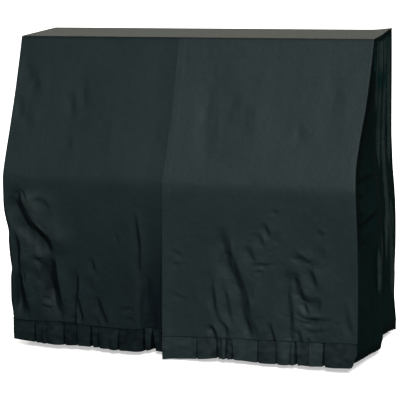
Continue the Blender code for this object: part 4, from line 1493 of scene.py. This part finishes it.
@dataclass
class HemBand(ClothPiece):
    """A pleated band that hangs from the foot of a front panel."""
    pleats: tuple[Pleat, ...] = ()
    panel: FrontPanel | None = None
    unlike: float = 0.0
    crumpled: tuple[float, float] = (9.0, 0.01)     # middle and half width of a crushed stretch
    stretch_shading: float = 0.9                  # how unlike the painted light and shade of its stretches is
    overall_shading: float = 0.0                 # painted light and shade of its stretches on the whole; below 0 they are darker
    first: float = 0.4                   # where in that unlikeness its right end stands

    ROWS = 26                     # rows from the hem to the seam
    ABOVE = (0.2, 0.6, 1.0)       # rows behind the panel's foot, as shares of BEHIND
    CELL = 0.006                  # width of a cell between pleats
    THICKNESS = 0.0007            # its cloth is thinner than the panels'
    RIPPLE = (0.0024, 0.0009)     # depth of its waves and of its small waves at the hem
    CRUSHED = 0.0040              # depth of the small waves in the crushed stretch
    UNLIKE_HEM = 0.0012           # how far its waves lift and drop the hem
    TURN = 0.0010                 # radius of a pleat's folded edge
    BACK_TURN = 0.0005            # radius of the fold behind it
    FRONT_ARC = (-60, -30, 0, 30, 60, 90)     # degrees round the folded edge
    REAR_ARC = (-150, 180, 150, 90)           # and round the fold behind it
    BEHIND = 0.005                # how far the upper edge runs up behind the panel's foot
    SET_BACK = 0.0030             # how far behind the panel's face it lies there
    PROUD = 0.0012                # how far the band stands out at its hem
    SHOULDER = 0.060              # height in which it comes forward
    DEEPEST_TUCK = 0.012          # how far back the cloth goes under an edge at most
    DEEPER = 1.4                  # how much deeper the mouths sink than their rows say
    UNLIKE_LIPS = 0.0030          # how unlike the folded edges stand out at the hem
    BELLY = (0.0022, 0.0048)      # how far a stretch bellies out there, and how unlike they are
    MOTTLED = Wander(0.030, 0.020, 1.5, 3.0)  # unevenness of the wear on a stretch
    WAVE, SMALL_WAVE = Wander(0.05, 0.12), Wander(0.014, 0.030, 1.0, 2.0)
    CALM = 0.018                  # width in which the band smooths the folds of its panel
    END_REACH = 0.0025            # how much nearer the cover's corner it comes than its solid

    @staticmethod
    def arc(middle: float, behind: float, radius: float, degrees: tuple[int, ...]
            ) -> tuple[list[float], list[float]]:
        """Points round a fold, seen from above: their places and how far back they lie."""
        turns = [math.radians(angle) for angle in degrees]
        return ([middle + radius * math.cos(turn) for turn in turns],
                [behind + radius * math.sin(turn) for turn in turns])

    def section(self, start: float, end: float,
                down: float) -> tuple[np.ndarray, np.ndarray, np.ndarray]:
        """Outline of the band from above, at one level.

        Args:
            start: Where the band begins.
            end: Where it ends.
            down: Share of the way from the seam to the hem.

        Returns:
            Place along the band, distance behind its face, and the crest attribute of each point,
            which holds painted light and shade.
        """
        x, back, tone = [], [], []

        def add(places: list[float], behind: list[float]) -> None:
            """Add points to the outline."""
            x.extend(places)
            back.extend(behind)

        start, end = -end, -start                # laid out from the right end to the left one
        at, level, last = start, 0.0, start
        step = 2 * self.TURN + 2 * self.BACK_TURN
        for k, pleat in enumerate(reversed(self.pleats)):
            mouth = pleat.mouth_seam + (pleat.mouth_hem - pleat.mouth_seam) * down
            centre = -pleat.x - pleat.lean * down
            left, right = centre - mouth / 2, centre + mouth / 2
            lip = -step / 2 - self.UNLIKE_LIPS * down * (0.5 + 0.5 * math.sin(7.0 * k + 1.0))
            count = max(3, round((-pleat.x - last) / self.CELL))
            last = -pleat.x
            t = np.linspace(0, 1, count)
            belly = (self.BELLY[0] + self.BELLY[1] * math.sin(5.0 * k + 0.6)) * down
            add(list(at + (left - self.TURN - at) * t),
                list(level + (lip - level) * ease(t) - belly * np.sin(math.pi * t)))
            # Painted light and shade, unlike from stretch to stretch.
            tone += [self.stretch_shading * math.sin(3.7 * k + self.first) + self.overall_shading] * count
            add(*self.arc(left - self.TURN, lip + self.TURN, self.TURN, self.FRONT_ARC))
            rear = lip + 2 * self.TURN
            tuck = min(pleat.tuck, self.DEEPEST_TUCK)
            sink = self.DEEPER * pleat.sink * (0.35 + 0.65 * down)
            add([left - self.TURN - (tuck - self.TURN) * t for t in (0.35, 0.7, 1.0)],
                [rear + 0.35 * sink * t * t for t in (0.35, 0.7, 1.0)])
            add(*self.arc(left - tuck, back[-1] + self.BACK_TURN, self.BACK_TURN, self.REAR_ARC))
            level, base = lip + step, back[-1]
            shares = (0.2, 0.4, 0.6, 0.8, 0.93)
            add([left - tuck + (right - left + tuck) * t for t in shares],
                [base + (level - base) * t + sink * math.sin(math.pi * t) * t for t in shares])
            at = right
            turned = len(self.FRONT_ARC)
            # Painted shade in the fold behind each edge and in its mouth.
            tone += [0.0] * turned + [DARKEST_PAINTED_SHADE] * (len(x) - len(tone) - turned)
        count = max(3, round((end - at) / self.CELL))
        tone += [0.0] * count
        t = np.linspace(0, 1, count)
        add(list(at + (end - at) * t), list(level + (0.0 - level) * ease(t)))
        return -np.array(x)[::-1], np.array(back)[::-1], np.array(tone)[::-1]

    def build(self) -> None:
        """Pleat the band and hang it from its panel's foot, its upper edge behind that foot."""
        face = CadFace(self.node, 1, -1)
        places = np.linspace(face.low[0] + 0.002, face.high[0] - 0.002, 300)
        hem_line = blurred(face.span(0, places, 2)[0], 3.0, 0)
        foot_x, foot_y, foot_z = self.panel.foot_line.T
        calm_foot = blurred(foot_y, self.CALM / (np.ptp(foot_x) / (len(foot_x) - 1)), 0)
        start = face.low[0] + HEM_ROLL - self.END_REACH
        end = face.high[0] - HEM_ROLL + self.END_REACH
        rows = []
        for down in np.concatenate([np.linspace(1, 0, self.ROWS) ** 1.2, -np.array(self.ABOVE)]):
            hung = float(max(down, 0.0))
            x, back, tone = self.section(start, end, hung)
            seam = np.interp(x, foot_x, foot_z) - SEAM_ROLL
            hem = np.interp(x, places, hem_line) + HEM_ROLL
            wave, small = (size.at(x, np.full(x.shape, hung * 0.1), self.unlike)
                           for size in (self.WAVE, self.SMALL_WAVE))
            level = seam + (hem - seam) * down + self.UNLIKE_HEM * wave * hung
            if down < 0:
                level = seam - down * self.BEHIND
            crush = np.exp(-((x - self.crumpled[0]) / self.crumpled[1]) ** 2)
            ripple = (self.RIPPLE[0] * wave + self.RIPPLE[1] * small) * hung
            ripple += crush * self.CRUSHED * small * ease(hung / 0.3)
            forward = ease((seam - level) / self.SHOULDER)
            proud = self.PROUD * forward - self.SET_BACK * (1 - forward)
            settled = ease(hung / 0.35)
            depth = np.interp(x, foot_x, foot_y) * (1 - settled)
            depth += np.interp(x, foot_x, calm_foot) * settled
            rows.append(np.stack([x, depth + (back + ripple - proud), level], axis=1))
        laid = Laid(np.array(rows), np.broadcast_to(tone, (len(rows), len(tone))))
        for edge in (Edge.LEFT, Edge.RIGHT):
            laid = laid.rolled(edge, HEM_ROLL, run=0.006)
        laid = laid.rolled(Edge.FOOT, HEM_ROLL / 2)
        laid.wear_and_painted_light = np.clip(laid.wear_and_painted_light + self.MOTTLED.at(laid.points[..., 0], laid.points[..., 2],
                                                        self.unlike), DARKEST_PAINTED_SHADE, BRIGHTEST_WEAR_AND_LIGHT)
        self.piece = cloth_sheet(self.name, laid, thickness=self.THICKNESS)


# ----------------------------------------------------------------------------------- the cover

class PianoCover:
    """The whole cover, piece by piece."""

    def __init__(self) -> None:
        """Lay out the pieces with their cut sizes."""
        rows = (0.0, 0.60, 0.0038), (0.60, 0.68, 0.0046), (0.68, 1.19, 0.0078)
        self.top = TopPanel("cover_top", "top_panel", Slot.PANEL, (1.56, 0.365))
        self.front_left = FrontPanel(
            "cover_front_left", "front_left_panel", Slot.PANEL, (0.87, 1.27),
            folds=LEFT_FRONT_FOLDS, crumples=LEFT_CRUMPLES, outer=Edge.LEFT, corner=LEFT_CORNER,
            unlike=1.3, left_flank_shade=1.6, lower_shade=0.9,
            columns=((0, 0.35, 0.0040), (0.35, 0.84, 0.0052)), rows=rows)
        self.front_right = FrontPanel(
            "cover_front_right", "front_right_panel", Slot.PANEL, (0.86, 1.27),
            folds=RIGHT_FRONT_FOLDS, crumples=RIGHT_CRUMPLES, outer=Edge.RIGHT,
            corner=RIGHT_CORNER, unlike=7.9, columns=((0, 0.83, 0.0046),), rows=rows)
        self.side_left = SidePanel("cover_side_left", "side_left_panel", Slot.PANEL, (0.66, 1.32),
                                   area=0.69, outward=-1, folds=LEFT_SIDE_FOLDS,
                                   corner=LEFT_CORNER, unlike=12.0)
        self.side_right = SidePanel("cover_side_right", "side_right_panel", Slot.PANEL,
                                    (0.66, 1.32), area=0.69, outward=1, folds=RIGHT_SIDE_FOLDS,
                                    corner=RIGHT_CORNER, unlike=17.0)
        self.back = BackPanel("cover_back", "back_panel", Slot.PANEL, (1.62, 1.34),
                              folds=BACK_FOLDS)
        self.band_left = HemBand("band_left", "hem_band_left", Slot.BAND, (1.13, 0.115),
                                 rests_on=("cover_front_left",), pleats=LEFT_PLEATS,
                                 panel=self.front_left, unlike=41.0, stretch_shading=0.6, overall_shading=-0.3)
        self.band_right = HemBand("band_right", "hem_band_right", Slot.BAND, (1.10, 0.115),
                                  rests_on=("cover_front_right",), pleats=RIGHT_PLEATS,
                                  panel=self.front_right, unlike=47.0, crumpled=(0.20, 0.035),
                                  overall_shading=-0.45, first=4.4)

    def build(self) -> None:
        """Build and dress every piece in order."""
        weave, mottle = plain_weave_group(), mottle_group()
        plain = ClothFinish("Right panel cloth", (.0068, .0140, .0152), (.0094, .0182, .0194))
        # A darker copy of the cloth: painted shade for the left panel.
        darker = replace(plain.tinted("Left panel cloth in painted shade", 0.84), specular=0.10,
                         painted_shade_colour=(.0008, .0036, .0052))
        # A darker, greener copy of the cloth: painted shade for the right side.
        shaded = ClothFinish("Right side cloth in painted shade", (.0008, .0066, .0061), (.0020, .0096, .0088),
                             painted_shade_colour=(.0004, .0026, .0024), wear_and_painted_light=0.15, dust_and_sheen_all_over=0.010,
                             specular=0.02)
        hidden = replace(plain.tinted("Left side and back cloth", 0.90), specular=0.08)
        band = replace(plain, name="Right band cloth")
        # A much darker copy of the cloth: painted shade for the left band.
        dark_band = replace(plain.tinted("Left band cloth in painted shade", 0.52), dust_and_light_colour=(.030, .040, .046),
                            painted_shade_colour=(.0004, .0012, .0018), specular=0.05)
        # The top's cloth: dust, and painted sheen for the light that its grazing face catches.
        dust_and_sheen_top = replace(plain, name="Dusty top cloth with painted sheen", dust_and_light_colour=(.110, .094, .063), dust_and_sheen_all_over=0.14,
                        specular=0.06)
        finishes = {finish: finish.material(weave, mottle)
                    for finish in (plain, darker, shaded, hidden, band, dark_band, dust_and_sheen_top)}
        for piece, finish in ((self.top, dust_and_sheen_top), (self.front_left, darker),
                              (self.front_right, plain), (self.side_left, hidden),
                              (self.side_right, shaded), (self.back, hidden),
                              (self.band_left, dark_band), (self.band_right, band)):
            piece.build()
            piece.dress(finishes[finish])


# ---------------------------------------------------------------------------------- the studio

@dataclass
class Studio:
    """Pale floor, soft light and the camera."""
    floor_level: float
    floor_size: float = 90.0
    lens: float = 134.93
    eye: tuple[float, float, float] = (2.1247, -5.9851, 0.6655)
    yaw: float = 0.3472
    pitch: float = 0.2151
    roll: float = -0.0295

    def build_floor(self) -> None:
        """A pale floor that runs out past the horizon of the view."""
        deselect_all()
        bpy.ops.mesh.primitive_plane_add(size=self.floor_size, location=(0, 0, self.floor_level))
        floor = bpy.context.object
        floor.name = "studio_floor"
        made, sketch, shader = new_material("Pale studio floor")
        ray = sketch.node("ShaderNodeLightPath").outputs["Is Camera Ray"]
        for socket, value in (("Roughness", 0.85), ("Specular IOR Level", 0.1),
                              ("Emission Strength", 1.0),
                              ("Base Color", sketch.mix(ray, (0.10,) * 3, (0.90,) * 3)),
                              ("Emission Color", sketch.mix(ray, (0.0,) * 3, (0.50,) * 3))):
            sketch.put(shader.inputs[socket], value)
        floor.data.materials.append(made)

    def build_lights(self) -> None:
        """A broad soft light above the front, a weaker one behind, and a bright room."""
        self.sun("soft_key", azimuth=24.0, elevation=42.0, spread=24.0, power=4.9)
        self.sun("rear_fill", azimuth=202.0, elevation=44.0, spread=40.0, power=2.2,
                 colour=(1.0, 0.96, 0.85))
        world = bpy.data.worlds.new("Studio")
        bpy.context.scene.world = world
        world.use_nodes = True
        sketch = NodeSketch(world.node_tree)
        light = world.node_tree.nodes["Background"]
        sketch.put(light.inputs["Color"], (0.95, 0.98, 1.0))
        sketch.put(light.inputs["Strength"], 0.06)
        seen = sketch.node("ShaderNodeBackground", {"Color": (1.0, 1.0, 1.0)})
        ray = sketch.node("ShaderNodeLightPath").outputs["Is Camera Ray"]
        chosen = sketch.node("ShaderNodeMixShader", {0: ray, 1: light.outputs[0],
                                                     2: seen.outputs[0]})
        sketch.put(world.node_tree.nodes["World Output"].inputs["Surface"], chosen.outputs[0])

    @staticmethod
    def sun(name: str, azimuth: float, elevation: float, spread: float, power: float,
            colour: tuple[float, float, float] = (1.0, 1.0, 1.0)) -> None:
        """Hang a wide distant light.

        Args:
            name: Name of the light.
            azimuth: Degrees from straight in front, positive to the right.
            elevation: Degrees above the horizon.
            spread: Width of the light in degrees.
            power: Its strength.
            colour: Its colour.
        """
        deselect_all()
        bpy.ops.object.light_add(type="SUN")
        light = bpy.context.object
        light.name = name
        turn, rise = math.radians(azimuth), math.radians(elevation)
        back = Vector((math.sin(turn) * math.cos(rise), -math.cos(turn) * math.cos(rise),
                       math.sin(rise)))
        light.rotation_euler = back.to_track_quat("Z", "Y").to_euler()
        light.data.energy = power
        light.data.angle = math.radians(spread)
        light.data.color = colour

    def build_camera(self) -> None:
        """The camera at its place, with its slight tilt."""
        deselect_all()
        bpy.ops.object.camera_add()
        camera = bpy.context.object
        camera.name = "view"
        turn = (Matrix.Rotation(self.yaw, 4, "Z")
                @ Matrix.Rotation(math.pi / 2 - self.pitch, 4, "X")
                @ Matrix.Rotation(self.roll, 4, "Z"))
        camera.matrix_world = Matrix.Translation(self.eye) @ turn
        camera.data.lens = self.lens
        camera.data.sensor_width = 36.0
        camera.data.clip_end = 200.0
        bpy.context.scene.camera = camera

    def build(self) -> None:
        """Set the studio up."""
        self.build_camera()
        self.build_floor()
        self.build_lights()
        bpy.context.scene.view_settings.view_transform = "Standard"


def main() -> None:
    """Build the studio and the cover."""
    logging.basicConfig(level=logging.INFO, format="%(message)s")
    Studio(floor_level=CAD_BOX[0].z - 0.004).build()
    PianoCover().build()


if __name__ == "__main__":
    main()
